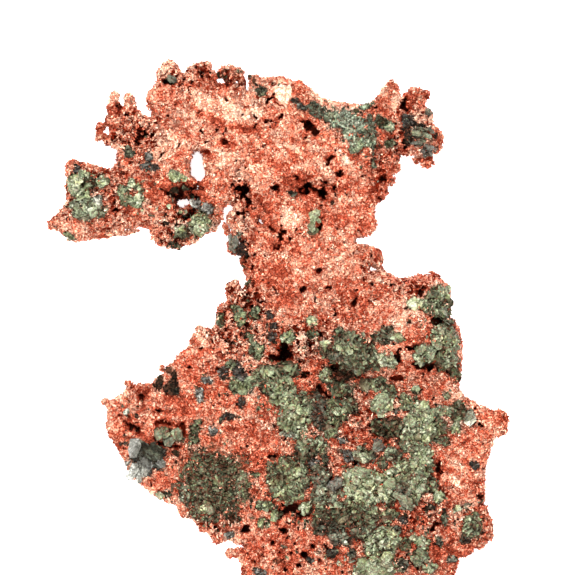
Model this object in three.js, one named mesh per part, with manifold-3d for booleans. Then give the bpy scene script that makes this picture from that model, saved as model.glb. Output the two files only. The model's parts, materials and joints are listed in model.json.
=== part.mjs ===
// Native copper nugget: one hackly sheet of copper metal that grew in a vein and closed round lumps
// of the vein's other minerals. It lies on its back, with the face that shows most of them up.
// Millimetres, +Z up, +Y towards the crown. The origin is under the middle of the outline, on the
// plane that the nugget rests on.
import * as THREE from "three";
import { mergeVertices } from "three/addons/utils/BufferGeometryUtils.js";
import Module from "manifold-3d";

const wasm = await Module();
wasm.setup();

// Driving dimensions.
const WIDTH = 186; // left arm's tip to right hip
const LENGTH = 225; // crown to foot
const TALL = 100; // more than the height of anything here
const MIDDLE = 9; // the sheet's middle surface over the rest plane
const RIM_HALF = 2; // half of the thickness at the outline
const BODY_HALF = 9.5; // half of the thickness well inside it
const RIM_FALL = 8.5; // how quickly the sheet thickens inwards
const ARM_LIFT = 2.5; // the arms curl up from the rest plane
const UNDER_LIFT = 1.4; // and so does the underside between its bosses
const GRID = 7.5; // facet size of the two faces
const HOLE_STEPS = 10;
const FACE_ROUGHNESS = 0.9; // height of the waves on the upper face
const UNDER_ROUGHNESS = 1.6; // and on the underside
const GAP = 0.35; // clearance between a mineral lump and its pocket
const LUMP_ROUGHNESS = 0.09; // share of a lump's radius that its knobs stand out
const SHOULDER_RISE = 11; // the shoulder stands this much over the belly, behind a ledge
const LEDGE_WIDTH = 5;
const LEDGE_SLANT = 0.13; // the ledge runs down towards the right
const SEAT_DROP = 4; // bosses of the underside hang this much under it

// The outline, clockwise from the left arm's tip: a ragged edge, so its corners are left sharp.
const OUTLINE = [
  // left arm, from its tip to the armpit
  [-93, 46], [-85.5, 53], [-84, 57], [-84, 71], [-80.5, 73], [-77, 73], [-66, 68], [-64, 71.5],
  [-64, 76.5],
  // upper left arm, with its three fingers
  [-68, 78], [-70, 81], [-72.5, 79.5], [-72, 87], [-68.5, 87.5], [-67, 99], [-64.5, 100],
  [-62, 96.5], [-60, 99], [-57, 98], [-55.5, 92.5], [-53.5, 90], [-50, 90],
  // crown
  [-52.5, 97], [-52, 100], [-48.5, 102], [-46, 110.5], [-43, 112.5], [-40, 111], [-38, 108],
  [-30, 112], [-26.5, 112], [-26.5, 108], [-19.5, 110.5], [-4.5, 105], [9, 105], [18, 97],
  [30, 94.5], [36, 95], [40.5, 97],
  // right arm
  [41, 99.5], [46, 105], [48, 103], [50, 97.5], [53, 101], [57, 101.5], [61.5, 99.5], [59, 94],
  [62, 92], [63, 87.5], [66, 84.5], [67, 80], [66, 77], [63.5, 75], [62, 68.5], [58, 69.5],
  [56, 74], [50, 74.5], [49, 68],
  // right side of the head
  [46.5, 67], [44, 58], [40, 54], [40, 45], [38, 42], [32.5, 41], [32.5, 39.5], [41.5, 36.5],
  [43, 32.5], [43, 27.5],
  // right shoulder
  [52, 25], [55.5, 27], [63.5, 27.5], [67, 24], [69.5, 21], [69.5, 9.5], [73, 6.5], [74, -11.5],
  [72.5, -18.5],
  // right hip
  [76, -22.5], [81.5, -25.5], [87, -28], [90, -27], [93, -31], [92, -36.5], [88, -38.5],
  [85.5, -43], [84, -51], [83, -61], [86.5, -77.5], [84, -82], [73.5, -87],
  // foot
  [69, -98], [64, -101.5], [44.5, -109], [29.5, -112.5], [14.5, -108.5], [8, -108], [-5, -103],
  [-10, -99.5], [-13.5, -95.5], [-13.5, -90], [-15.5, -87], [-20, -85], [-17, -83], [-11, -83],
  // left hip
  [-18.5, -79.5], [-24, -81], [-30.5, -76], [-33, -71], [-38, -70.5], [-40, -66], [-50.5, -61],
  [-54, -57], [-57.5, -55.5], [-60, -49], [-68.5, -36], [-67.5, -28.5], [-70, -24.5], [-62, -20.5],
  [-59, -16], [-56, -17.5], [-50.5, -17], [-34, -1], [-34, 1.5], [-30, 6], [-26, 4], [-24, 7.5],
  [-23.5, 13.5], [-20, 17], [-20, 22.5], [-16, 25], [-13.5, 21.5], [-11.5, 24],
  // left side of the neck
  [-14, 28.5], [-14, 32], [-19, 35.5], [-18, 41], [-20.5, 49], [-18, 54],
  // left knob, across a narrow slit from the neck
  [-21, 53.5], [-21.5, 48.5], [-24.5, 44], [-40, 36.5], [-46.5, 38], [-49.5, 41], [-50.5, 45],
  [-54, 46], [-64.5, 42], [-76, 40], [-83, 40.5], [-86, 44],
];

// Holes right through the sheet: centre, half widths, and turn in radians.
const HOLES = [
  { x: -32, y: 69.5, rx: 2.8, ry: 5.2, turn: 0.05 },
  { x: -37, y: 55, rx: 2.5, ry: 1.7, turn: 0.2 },
  { x: -68, y: 83.5, rx: 1.2, ry: 1.2, turn: 0 },
  { x: -11.5, y: 102, rx: 1, ry: 2.6, turn: 0 },
  { x: -22, y: 104.2, rx: 1.7, ry: 1, turn: 0 },
];

// Swells and hollows of the upper face: centre, reach along X and Y, height.
const SWELLS = [
  { x: -10, y: 80, rx: 36, ry: 18, height: 2.5 }, // head plate
  { x: 19.5, y: 69, rx: 9, ry: 7, height: 4 }, // brow
  { x: 7.5, y: 51, rx: 8, ry: 10, height: 4 }, // nose
  { x: -14, y: 47, rx: 5, ry: 8, height: 2 }, // cheek beside the slit
  { x: 54, y: 7, rx: 9, ry: 10, height: 4 }, // shoulder boss
  { x: 61, y: 22, rx: 8, ry: 6, height: 5 }, // shoulder knob
  { x: 27, y: -17, rx: 12, ry: 6, height: -5 }, // hollow under the ledge
  { x: 60, y: -15, rx: 14, ry: 5, height: -3 },
  { x: 32, y: -55, rx: 36, ry: 26, height: 4 }, // belly
  { x: -22, y: -57, rx: 13, ry: 12, height: -2.5 }, // round hollow
  { x: 73, y: -50, rx: 7, ry: 9, height: -2 }, // smooth dimple of the right hip
  { x: -2, y: -88, rx: 12, ry: 8, height: 2 },
  { x: -16, y: 62, rx: 5, ry: 4, height: -4 }, // pits under the brow line
  { x: 13, y: 59, rx: 7, ry: 3.5, height: -5 },
];

// Bosses of the underside that reach the rest plane and are worn flat there: centre, reach.
const SEATS = [
  { x: 28, y: -48, reach: 17 },
  { x: -4, y: 77, reach: 15 },
  { x: -42, y: -36, reach: 11 },
  { x: 50, y: 10, reach: 12 },
];

// Mineral lumps held in pockets of the copper. A node is one lump, grown together from its blobs:
// centre, half widths, turn in degrees, half depth, and how proud of the copper its top stands.
const MINERALS = [
  { name: "head_green_crust", colour: "#6f8a72", blobs: [
    { x: 26.5, y: 88.5, rx: 12.5, ry: 6, turn: -25, rz: 4, proud: 1 },
    { x: 36, y: 79, rx: 4.4, ry: 8.5, turn: 8, rz: 3.4, proud: 0.8 },
  ] },
  { name: "arm_pale_green_upper", colour: "#9aa878", blobs: [
    { x: -76, y: 62.8, rx: 7.2, ry: 4.4, turn: 4, rz: 2.8, proud: 1.2 },
  ] },
  { name: "arm_pale_green_lower", colour: "#99a382", blobs: [
    { x: -76, y: 51.5, rx: 7, ry: 4.2, turn: -10, rz: 2.8, proud: 1.2 },
  ] },
  { name: "arm_nodule_cluster", colour: "#98a081", blobs: [
    { x: -58, y: 58, rx: 4.2, ry: 5.4, turn: -20, rz: 2.8, proud: 1 },
  ] },
  { name: "knob_pale_nodule", colour: "#98a871", blobs: [
    { x: -31, y: 47.5, rx: 4.2, ry: 5, turn: 20, rz: 4, proud: 2 },
  ] },
  { name: "knob_dark_nodule", colour: "#56684f", blobs: [
    { x: -38.5, y: 43.8, rx: 2.8, ry: 2.4, turn: 20, rz: 2.4, proud: 1.2 },
  ] },
  { name: "throat_green_crystal", colour: "#7f9a78", blobs: [
    { x: 14.4, y: 46.8, rx: 2.6, ry: 5.2, turn: -4, rz: 3.6, proud: 1.4 },
  ] },
  { name: "right_arm_rock", colour: "#5c6152", blobs: [
    { x: 57.5, y: 80.8, rx: 5.6, ry: 6, turn: 0, rz: 4.6, proud: 1.6 },
  ] },
  { name: "neck_brown_rock", colour: "#6b6256", blobs: [
    { x: -16.9, y: 38.4, rx: 2.4, ry: 3.8, turn: -20, rz: 3, proud: 0.6 },
  ] },
  { name: "shoulder_green_upper", colour: "#6d7f5f", blobs: [
    { x: 64.6, y: 16.2, rx: 4.8, ry: 6, turn: 20, rz: 4.6, proud: 1.2 },
  ] },
  { name: "shoulder_green_lower", colour: "#76886a", blobs: [
    { x: 67.5, y: -2, rx: 7.6, ry: 9, turn: 15, rz: 9, proud: 2.4 },
    { x: 60, y: -4.5, rx: 5.4, ry: 4, turn: 0, rz: 5, proud: 1.6 },
  ] },
  { name: "ledge_green_lump", colour: "#5f7358", blobs: [
    { x: 29.5, y: -3.5, rx: 14, ry: 8, turn: -8, rz: 7, proud: 3 },
    { x: 43.5, y: -1.5, rx: 4.6, ry: 7, turn: 10, rz: 5, proud: 1.6 },
  ] },
  { name: "hollow_green_lump", colour: "#5c7156", blobs: [
    { x: 24.5, y: -18.5, rx: 9.2, ry: 5, turn: -15, rz: 4, proud: 1.4 },
  ] },
  { name: "belly_green_left", colour: "#64795f", blobs: [
    { x: 2, y: -19, rx: 12.5, ry: 8.6, turn: -30, rz: 4.8, proud: 1.4 },
    { x: 14, y: -31.5, rx: 11, ry: 6, turn: -5, rz: 4, proud: 1 },
  ] },
  { name: "belly_green_right", colour: "#6c8066", blobs: [
    { x: 44.5, y: -28.5, rx: 8.6, ry: 8.6, turn: -12, rz: 4.4, proud: 1.4 },
    { x: 62, y: -29, rx: 14, ry: 7.6, turn: -8, rz: 4.8, proud: 1.2 },
  ] },
  { name: "round_dark_patch", colour: "#4c5a43", blobs: [
    { x: -23.2, y: -56.6, rx: 15, ry: 14.4, turn: 0, rz: 5, proud: 0.6 },
  ] },
  { name: "lower_green_mass", colour: "#74845f", blobs: [
    { x: 8, y: -56.5, rx: 12.4, ry: 10.5, turn: -8, rz: 4.8, proud: 1.2 },
    { x: 29.5, y: -59.5, rx: 16, ry: 13, turn: -12, rz: 5.4, proud: 1.4 },
    { x: 49.5, y: -51.5, rx: 14.5, ry: 10, turn: 30, rz: 5, proud: 1.4 },
  ] },
  { name: "foot_green_mass", colour: "#7a8a69", blobs: [
    { x: 40.5, y: -87, rx: 10, ry: 9, turn: 20, rz: 4.6, proud: 1.4 },
    { x: 54.5, y: -82.5, rx: 9.6, ry: 7.2, turn: -30, rz: 4.2, proud: 1.2 },
  ] },
  { name: "corner_green_nodule", colour: "#66765c", blobs: [
    { x: 77.3, y: -73.5, rx: 5, ry: 5.2, turn: 0, rz: 3.4, proud: 0.8 },
  ] },
  { name: "hip_green_nodule", colour: "#5d6b4f", blobs: [
    { x: -43, y: -36.6, rx: 4.8, ry: 3.2, turn: -15, rz: 3.2, proud: 1.6 },
  ] },
  { name: "hip_grey_quartz", colour: "#6c7273", blobs: [
    { x: -53.2, y: -43.8, rx: 7, ry: 4.6, turn: -10, rz: 4.6, proud: 2 },
  ] },
  { name: "hip_white_quartz", colour: "#c9cbc4", blobs: [
    { x: -56, y: -52.6, rx: 3, ry: 3.4, turn: 10, rz: 3.8, proud: 2 },
  ] },
  { name: "edge_black_knob", colour: "#2d2f2a", blobs: [
    { x: -44.2, y: -16.8, rx: 3.4, ry: 5.4, turn: -25, rz: 4.2, proud: 2 },
  ] },
];

const smooth = (t) => THREE.MathUtils.smoothstep(t, 0, 1);

// Waves of about 20 mm with no pattern that the eye can follow, from -1 to 1.
function waves(x, y, z = 0) {
  const long = Math.sin(0.27 * x + 0.13 * y + 1.7) * Math.cos(0.21 * y - 0.16 * x + 0.31 * z + 0.4);
  const short = Math.sin(0.52 * y + 0.33 * z - 0.9) * Math.cos(0.47 * x - 0.38 * z + 2.2);
  return 0.6 * long + 0.4 * short;
}

// A bell of height 1 that reaches e to the -1 at half widths rx and ry.
const bell = (x, y, at, rx, ry) => Math.exp(-(((x - at.x) / rx) ** 2) - ((y - at.y) / ry) ** 2);

const outlinePoints = OUTLINE.map(([x, y]) => new THREE.Vector2(x, y));

function holePath({ x, y, rx, ry, turn }) {
  const curve = new THREE.EllipseCurve(x, y, rx, ry, 0, 2 * Math.PI, false, turn);
  return new THREE.Path(curve.getPoints(HOLE_STEPS).slice(0, -1));
}

// How far inside the outline a point lies, and 0 outside it.
function depthInside(x, y) {
  let nearest = Infinity;
  let inside = false;
  outlinePoints.forEach((a, i) => {
    const b = outlinePoints[(i + 1) % outlinePoints.length];
    const along = THREE.MathUtils.clamp(
      ((x - a.x) * (b.x - a.x) + (y - a.y) * (b.y - a.y)) / a.distanceToSquared(b), 0, 1);
    nearest = Math.min(nearest, Math.hypot(x - a.x - along * (b.x - a.x), y - a.y - along * (b.y - a.y)));
    const crossing = a.y > y !== b.y > y && x < a.x + ((y - a.y) * (b.x - a.x)) / (b.y - a.y);
    inside = inside !== crossing;
  });
  return inside ? nearest : 0;
}

// Half of the sheet's thickness: thin at the rim, full well inside it.
const halfThickness = (x, y) =>
  RIM_HALF + (BODY_HALF - RIM_HALF) * (1 - Math.exp(-depthInside(x, y) / RIM_FALL));

// The middle surface, which lifts towards the left arm and the right arm.
const middle = (x, y) =>
  MIDDLE + ARM_LIFT * smooth((Math.abs(x + 5) - 40) / 40) * smooth((y - 30) / 20) + 0.8 * waves(y, x);

// The shoulder's plateau, which ends in a ledge over the belly.
function shoulder(x, y) {
  const fromLedge = y + 4 + LEDGE_SLANT * x;
  const ledge = smooth(fromLedge / LEDGE_WIDTH + 0.5);
  return SHOULDER_RISE * ledge * bell(x, y, { x: 42, y: 8 }, 36, 26);
}

function upperFace(x, y) {
  const swell = SWELLS.reduce((sum, s) => sum + s.height * bell(x, y, s, s.rx, s.ry), 0);
  const full = halfThickness(x, y);
  const share = smooth((full - RIM_HALF) / (0.5 * (BODY_HALF - RIM_HALF)));
  return middle(x, y) + full + share * (swell + shoulder(x, y)) + FACE_ROUGHNESS * waves(1.7 * x, 1.7 * y);
}

function underFace(x, y) {
  const seats = SEATS.reduce((sum, s) => sum + SEAT_DROP * bell(x, y, s, s.reach, s.reach), 0);
  const under = middle(x, y) - halfThickness(x, y) + UNDER_LIFT + UNDER_ROUGHNESS * waves(1.3 * y, 1.3 * x);
  return Math.max(0, under - seats);
}

function solid(geometry) {
  geometry.deleteAttribute("normal");
  geometry.deleteAttribute("uv");
  const merged = mergeVertices(geometry, 1e-4);
  return new wasm.Manifold(new wasm.Mesh({
    numProp: 3,
    vertProperties: merged.attributes.position.array,
    triVerts: new Uint32Array(merged.index.array),
  }));
}

function node(name, made, colour, metalness, roughness) {
  const mesh = made.getMesh();
  const geometry = new THREE.BufferGeometry();
  geometry.setAttribute("position", new THREE.BufferAttribute(mesh.vertProperties, 3));
  geometry.setIndex(new THREE.BufferAttribute(mesh.triVerts, 1));
  const finish = { color: colour, metalness, roughness, flatShading: true };
  const shown = new THREE.Mesh(geometry, new THREE.MeshStandardMaterial(finish));
  shown.name = name;
  return shown;
}

// The biggest of the bodies that cutting has left: crumbs at the rim fall away.
const largest = (made) => made.decompose().sort((a, b) => b.volume() - a.volume())[0];

// The copper before its pockets: a slab with both faces in relief, cut to the outline.
function copperSheet() {
  const columns = Math.round(WIDTH / GRID) + 2;
  const rows = Math.round(LENGTH / GRID) + 2;
  const slab = new THREE.BoxGeometry(columns * GRID, rows * GRID, 1, columns, rows, 1);
  const at = slab.attributes.position;
  for (let i = 0; i < at.count; i++) {
    const face = at.getZ(i) > 0 ? upperFace : underFace;
    at.setZ(i, face(at.getX(i), at.getY(i)));
  }
  const shape = new THREE.Shape(outlinePoints);
  shape.holes = HOLES.map(holePath);
  const cutter = new THREE.ExtrudeGeometry(shape, { depth: TALL, bevelEnabled: false });
  cutter.translate(0, 0, -TALL / 2);
  return solid(slab).intersect(solid(cutter));
}

// A knobbly blob, larger all round by grow. Its top stands proud of the copper's upper face.
function blobSolid({ x, y, rx, ry, rz, turn, proud }, grow) {
  const ball = new THREE.IcosahedronGeometry(1, 1);
  const at = ball.attributes.position;
  const p = new THREE.Vector3();
  for (let i = 0; i < at.count; i++) {
    p.fromBufferAttribute(at, i);
    p.multiplyScalar(1 + LUMP_ROUGHNESS * waves(9 * p.x + x, 9 * p.y + y, 9 * p.z));
    at.setXYZ(i, p.x, p.y, p.z);
  }
  ball.scale(rx + grow, ry + grow, rz + grow);
  ball.rotateZ(THREE.MathUtils.degToRad(turn));
  ball.translate(x, y, upperFace(x, y) + proud - rz);
  return solid(ball);
}

const lumpSolid = (blobs, grow) => blobs.map((b) => blobSolid(b, grow)).reduce((a, b) => a.add(b));

let copper = copperSheet();
for (const { blobs } of MINERALS) copper = copper.subtract(lumpSolid(blobs, GAP));

const nugget = new THREE.Group();
nugget.add(node("copper", largest(copper), "#d98a66", 1, 0.45));
for (const { name, colour, blobs } of MINERALS) nugget.add(node(name, lumpSolid(blobs, 0), colour, 0, 0.8));

export default nugget;
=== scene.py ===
import json
import math

import bpy
import numpy as np
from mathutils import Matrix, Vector


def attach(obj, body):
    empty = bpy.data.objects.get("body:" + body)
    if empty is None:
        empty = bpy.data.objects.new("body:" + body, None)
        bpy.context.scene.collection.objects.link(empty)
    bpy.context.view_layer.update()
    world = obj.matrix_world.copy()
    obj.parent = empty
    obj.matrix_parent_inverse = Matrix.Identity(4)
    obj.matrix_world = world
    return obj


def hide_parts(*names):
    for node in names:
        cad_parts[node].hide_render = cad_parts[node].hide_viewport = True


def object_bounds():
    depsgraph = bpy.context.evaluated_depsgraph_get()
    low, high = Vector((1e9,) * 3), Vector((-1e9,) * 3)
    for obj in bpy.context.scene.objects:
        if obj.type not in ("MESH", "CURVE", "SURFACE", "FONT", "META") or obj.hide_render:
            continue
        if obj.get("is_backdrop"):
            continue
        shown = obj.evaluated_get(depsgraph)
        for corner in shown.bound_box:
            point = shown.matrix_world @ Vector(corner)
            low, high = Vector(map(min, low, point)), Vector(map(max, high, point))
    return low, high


bl_info = {
    "name": "Native copper nugget",
    "version": (1, 0, 0),
    "blender": (4, 5, 0),
    "location": "3D View > Sidebar > Nugget",
    "description": "Builds a hackly sheet of native copper with its green, grey and dark minerals",
    "category": "Object",
}

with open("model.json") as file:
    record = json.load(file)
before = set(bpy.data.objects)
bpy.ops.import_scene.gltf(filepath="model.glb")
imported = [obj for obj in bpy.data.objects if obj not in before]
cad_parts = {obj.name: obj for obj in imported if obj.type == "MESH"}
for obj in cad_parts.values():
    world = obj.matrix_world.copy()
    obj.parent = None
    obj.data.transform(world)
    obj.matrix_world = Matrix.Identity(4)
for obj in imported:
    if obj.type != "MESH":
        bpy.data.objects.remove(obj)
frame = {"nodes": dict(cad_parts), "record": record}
CAD_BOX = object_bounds()
MM = 0.001
CHANCES = np.random.default_rng(11).random(2**16)
LATTICE_PRIMES = (73856093, 19349663, 83492791)

# How far above the floor the lowest points stay, in millimetres, and how many sides a crystal has.
LOWEST = 0.02
CRYSTAL_SIDES = 4

# Tones of the minerals, from black through dark and mid green to pale green and cream. Black is also
# sunk into the surface, and ink isn't.
BLACK, INK, DARK, SHADE, MID, FRESH, PALE, CREAM = 0.0, -0.12, 0.18, 0.34, 0.5, 0.64, 0.8, 1.0

# Where each mineral shows. Millimetres: centre, half widths, turn in degrees, tone, and how grey.
MINERALS = {
    "head_green_crust": [
        (18, 91.6, 7, 2.8, -22, SHADE, 0.3), (29, 88, 9.4, 5.4, -26, 0.58, 0.35),
        (29.4, 82, 7, 4.2, -42, 0.58, 0.3), (35.4, 82.5, 3.6, 6.5, 0, MID, 0.3),
        (38.2, 77, 0.9, 7.4, 4, SHADE, 0.2), (35.6, 93.6, 3, 1.4, 15, MID, 0.2),
        (24, 87, 3, 2.4, -30, 0.7, 0.2), (32.6, 78.6, 2.4, 4.4, -35, 0.7, 0.1),
        (37, 89, 1.2, 3.4, 0, SHADE, 0.2),
    ],
    "arm_pale_green_upper": [
        (-80.1, 62.9, 3.4, 3.8, 0, PALE, 0), (-69.4, 63.6, 3.2, 3, 0, PALE, 0),
        (-74.8, 62.8, 4, 2.2, 8, DARK, 0), (-76.8, 59.4, 3.6, 2.4, 0, FRESH, 0),
        (-75, 66.4, 5.2, 1.2, 0, 0.74, 0),
    ],
    "arm_pale_green_lower": [
        (-76.4, 51.7, 6.8, 4.8, -8, FRESH, 0.2), (-70.9, 56.4, 1.7, 2.2, -30, PALE, 0.8),
    ],
    "arm_nodule_cluster": [
        (-57.9, 63.2, 1.8, 1.8, 0, PALE, 0), (-54.4, 61.2, 1.5, 2.4, 10, FRESH, 0),
        (-61.2, 59.8, 2.2, 2.5, 0, FRESH, 0), (-60, 56.2, 2.8, 2.2, -20, MID, 0),
        (-55.4, 55.2, 2.8, 2.4, 0, PALE, 0),
    ],
    "knob_pale_nodule": [(-31.1, 47.8, 4.3, 4.8, 10, PALE, 0)],
    "knob_dark_nodule": [(-38, 43.8, 3, 2.6, 15, MID, 0)],
    "throat_green_crystal": [(15, 49.6, 1.7, 2, 0, MID, 0), (14.3, 44.3, 1.7, 2, 0, SHADE, 0)],
    "right_arm_rock": [
        (57.6, 82.6, 4.6, 2.6, -18, 0.42, 0.4), (56.6, 86.4, 4.2, 1.1, -12, INK, 0.5),
        (52.2, 82, 1.2, 3.4, 10, INK, 0.5), (57.2, 78.9, 4.2, 1.2, -14, DARK, 0.6),
        (60.6, 77, 3, 2, -10, MID, 0.9), (63.6, 81.6, 1, 2.6, 0, INK, 0.5),
        (59.8, 74.6, 1.8, 1.2, 0, SHADE, 0.9), (55.4, 80.6, 4.4, 0.6, -16, INK, 0.6),
        (52.4, 87.8, 2.4, 1.4, -40, SHADE, 0.5),
    ],
    "neck_brown_rock": [(-17.2, 39.2, 2.4, 3.9, -15, MID, 0.6), (-14, 36.6, 2.4, 2.6, 0, INK, 1)],
    "shoulder_green_upper": [(64.4, 14.8, 5.2, 5.2, 0, MID, 0), (67, 19.4, 3.2, 2.6, 0, PALE, 0)],
    "shoulder_green_lower": [
        (67, -1.4, 5.8, 9.6, 8, 0.56, 0), (59.6, -4.6, 4.6, 3.8, 0, PALE, 0),
        (70.8, -11.4, 2.5, 4, 25, SHADE, 0), (70.2, -8.6, 2, 1.8, 0, CREAM, 0),
    ],
    "ledge_green_lump": [
        (29.4, -4.8, 12.6, 7.2, -8, 0.38, 0.1), (43.8, -6.8, 3.4, 3.3, 0, CREAM, 0.1),
        (18.6, -1.2, 2.4, 1.6, -30, PALE, 0), (43.4, 2.4, 3.9, 3.6, -10, SHADE, 0.2),
        (47.8, 2, 2.7, 1.9, 0, PALE, 0), (24.6, -5.6, 2.6, 2.2, 0, SHADE, 1),
    ],
    "hollow_green_lump": [
        (19.4, -12.4, 2.8, 4, 0, FRESH, 0), (27.4, -19.6, 6.8, 3.4, 0, SHADE, 0),
        (29.5, -24.4, 3.6, 3, 0, SHADE, 0), (37.4, -16.8, 5.2, 2.6, -10, FRESH, 0),
        # The black place is painted shadow in the hollow under the ledge, also sunk 3 mm.
        (26.5, -14, 5.8, 3.4, 0, BLACK, 0),
    ],
    "belly_green_left": [
        (-1.8, -15.6, 7.4, 5.4, -20, MID, 0), (3, -22, 6, 6, 0, FRESH, 0),
        (5.2, -11.6, 3.2, 2.2, -30, SHADE, 0), (8.6, -28.6, 8, 9.4, 0, FRESH, 0),
        (23.2, -28.6, 5.2, 7.2, 0, MID, 0), (16.4, -28, 3.4, 7.4, 0, DARK, 0.6),
        (15.2, -42.4, 6.2, 3.4, 8, MID, 0.1), (4.6, -36.9, 3.6, 1.3, -10, PALE, 0.6),
        (10.6, -45.6, 4.4, 1.8, 0, DARK, 0),
    ],
    "belly_green_right": [
        (42.2, -24.4, 4.8, 4.4, 0, PALE, 0), (45, -19.8, 2, 2.4, 0, MID, 0),
        (48, -27.8, 1.8, 2.2, 0, SHADE, 0.8), (44, -34, 6.2, 3.6, -10, DARK, 0),
        (51.4, -24.8, 2.6, 3.4, 0, FRESH, 0), (57.4, -27.4, 4.4, 3, 0, FRESH, 0),
        (59.4, -33.4, 10, 6.4, -5, 0.7, 0), (65.8, -27.4, 4.4, 2.8, -15, FRESH, 0.1),
        (76.4, -29.8, 2.6, 2.8, -30, PALE, 0.6), (72.4, -28.8, 4.2, 3.8, 0, SHADE, 0),
        (71.2, -34.8, 3.6, 4, 0, FRESH, 0), (52.4, -39.4, 4, 5.4, 0, 0.6, 0.1),
        (67.4, -39.4, 4, 1.8, 0, SHADE, 0),
    ],
    "round_dark_patch": [
        (-24.6, -56.8, 14.4, 15.6, 0, 0.27, 0), (-19.6, -56.4, 4.6, 4.6, 0, BLACK, 0),
        (-21, -65, 5, 2.6, 10, DARK, 0), (-28.6, -66.8, 3.2, 1, -15, CREAM, 0),
        (-17.8, -70.6, 3, 2.4, -10, BLACK, 0), (-14.2, -57.5, 3.6, 9.6, 8, MID, 0),
        (-36.6, -61.5, 2.2, 4.6, 15, MID, 0.3),
    ],
    "lower_green_mass": [
        (5.4, -55, 9.8, 9.2, 0, 0.54, 0), (6.4, -54, 3.4, 2, -15, CREAM, 0),
        (16.4, -53.6, 4.6, 4, 0, SHADE, 0.4), (11.4, -65.6, 2.4, 2.3, 0, PALE, 0),
        (20, -60.4, 7.6, 5, 0, MID, 0.3), (23.4, -57.4, 3.4, 2.8, 0, MID, 1),
        (35.4, -45.8, 3.8, 3.4, 0, FRESH, 0.2), (39.8, -42, 2.6, 3, 0, FRESH, 0.9),
        (46.6, -45.6, 2.8, 2.6, 0, MID, 0.2), (41.6, -48.6, 2.4, 2.6, 0, SHADE, 0),
        (31.4, -52.8, 4.6, 2.8, -5, CREAM, 0), (38.8, -58.4, 13.6, 7.6, 0, 0.78, 0),
        (50, -52.4, 4.4, 5.4, 0, FRESH, 0), (57.4, -49.6, 4.8, 10, 0, FRESH, 0),
        (49.4, -59.6, 4, 4, 0, DARK, 0.5), (43.6, -62.6, 4, 1.9, -25, CREAM, 0),
        (51.4, -64.8, 3, 2.2, 0, PALE, 0.4), (29.4, -68.4, 14, 6, -3, 0.44, 0),
        (54.4, -61, 3, 3, 0, MID, 0), (22, -72.6, 6, 3, 8, DARK, 0.4), (33, -76, 5.4, 3, 0, SHADE, 0.3),
        (44.6, -70, 3.1, 2.9, 0, MID, 0), (59.4, -57.4, 3.8, 3.4, 0, SHADE, 0),
    ],
    "foot_green_mass": [
        (26, -78, 3.8, 2.8, -20, SHADE, 0.5), (41.4, -80, 7.2, 6.2, 0, FRESH, 0),
        (44, -86, 2.2, 2.6, 20, CREAM, 0), (40, -90, 8.4, 5.4, 0, PALE, 0),
        (34.4, -89.4, 3.6, 3.6, 0, FRESH, 0), (57.2, -79.6, 3.6, 1.9, -10, PALE, 0),
        (56.6, -85.6, 4.4, 4, 0, MID, 0), (60.6, -91, 2.4, 2.2, 0, PALE, 0),
        (51.6, -82, 3, 2.6, 0, SHADE, 0),
    ],
    "corner_green_nodule": [(77.4, -73.2, 4.6, 5, 0, MID, 0), (75, -79, 2.4, 2, 0, DARK, 0.6)],
    "hip_green_nodule": [(-43, -37.4, 5, 2.9, -18, SHADE, 0), (-40.6, -37.6, 2.2, 2.2, 0, FRESH, 0)],
    "hip_grey_quartz": [(-52.4, -44.6, 7.2, 4.8, -22, DARK, 0.8)],
    "hip_white_quartz": [(-56, -52.2, 3, 3.6, 10, SHADE, 1), (-52.2, -50.4, 1.8, 3.4, 10, SHADE, 1)],
    "edge_black_knob": [
        (-43.8, -11.2, 2.5, 1.6, 0, INK, 0.4), (-47, -17, 1.9, 3.6, -10, INK, 0.4),
        (-42.2, -18.9, 2.6, 3.3, 0, INK, 0.4), (-41, -14, 1.1, 2.8, 0, INK, 0.4),
    ],
}

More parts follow.
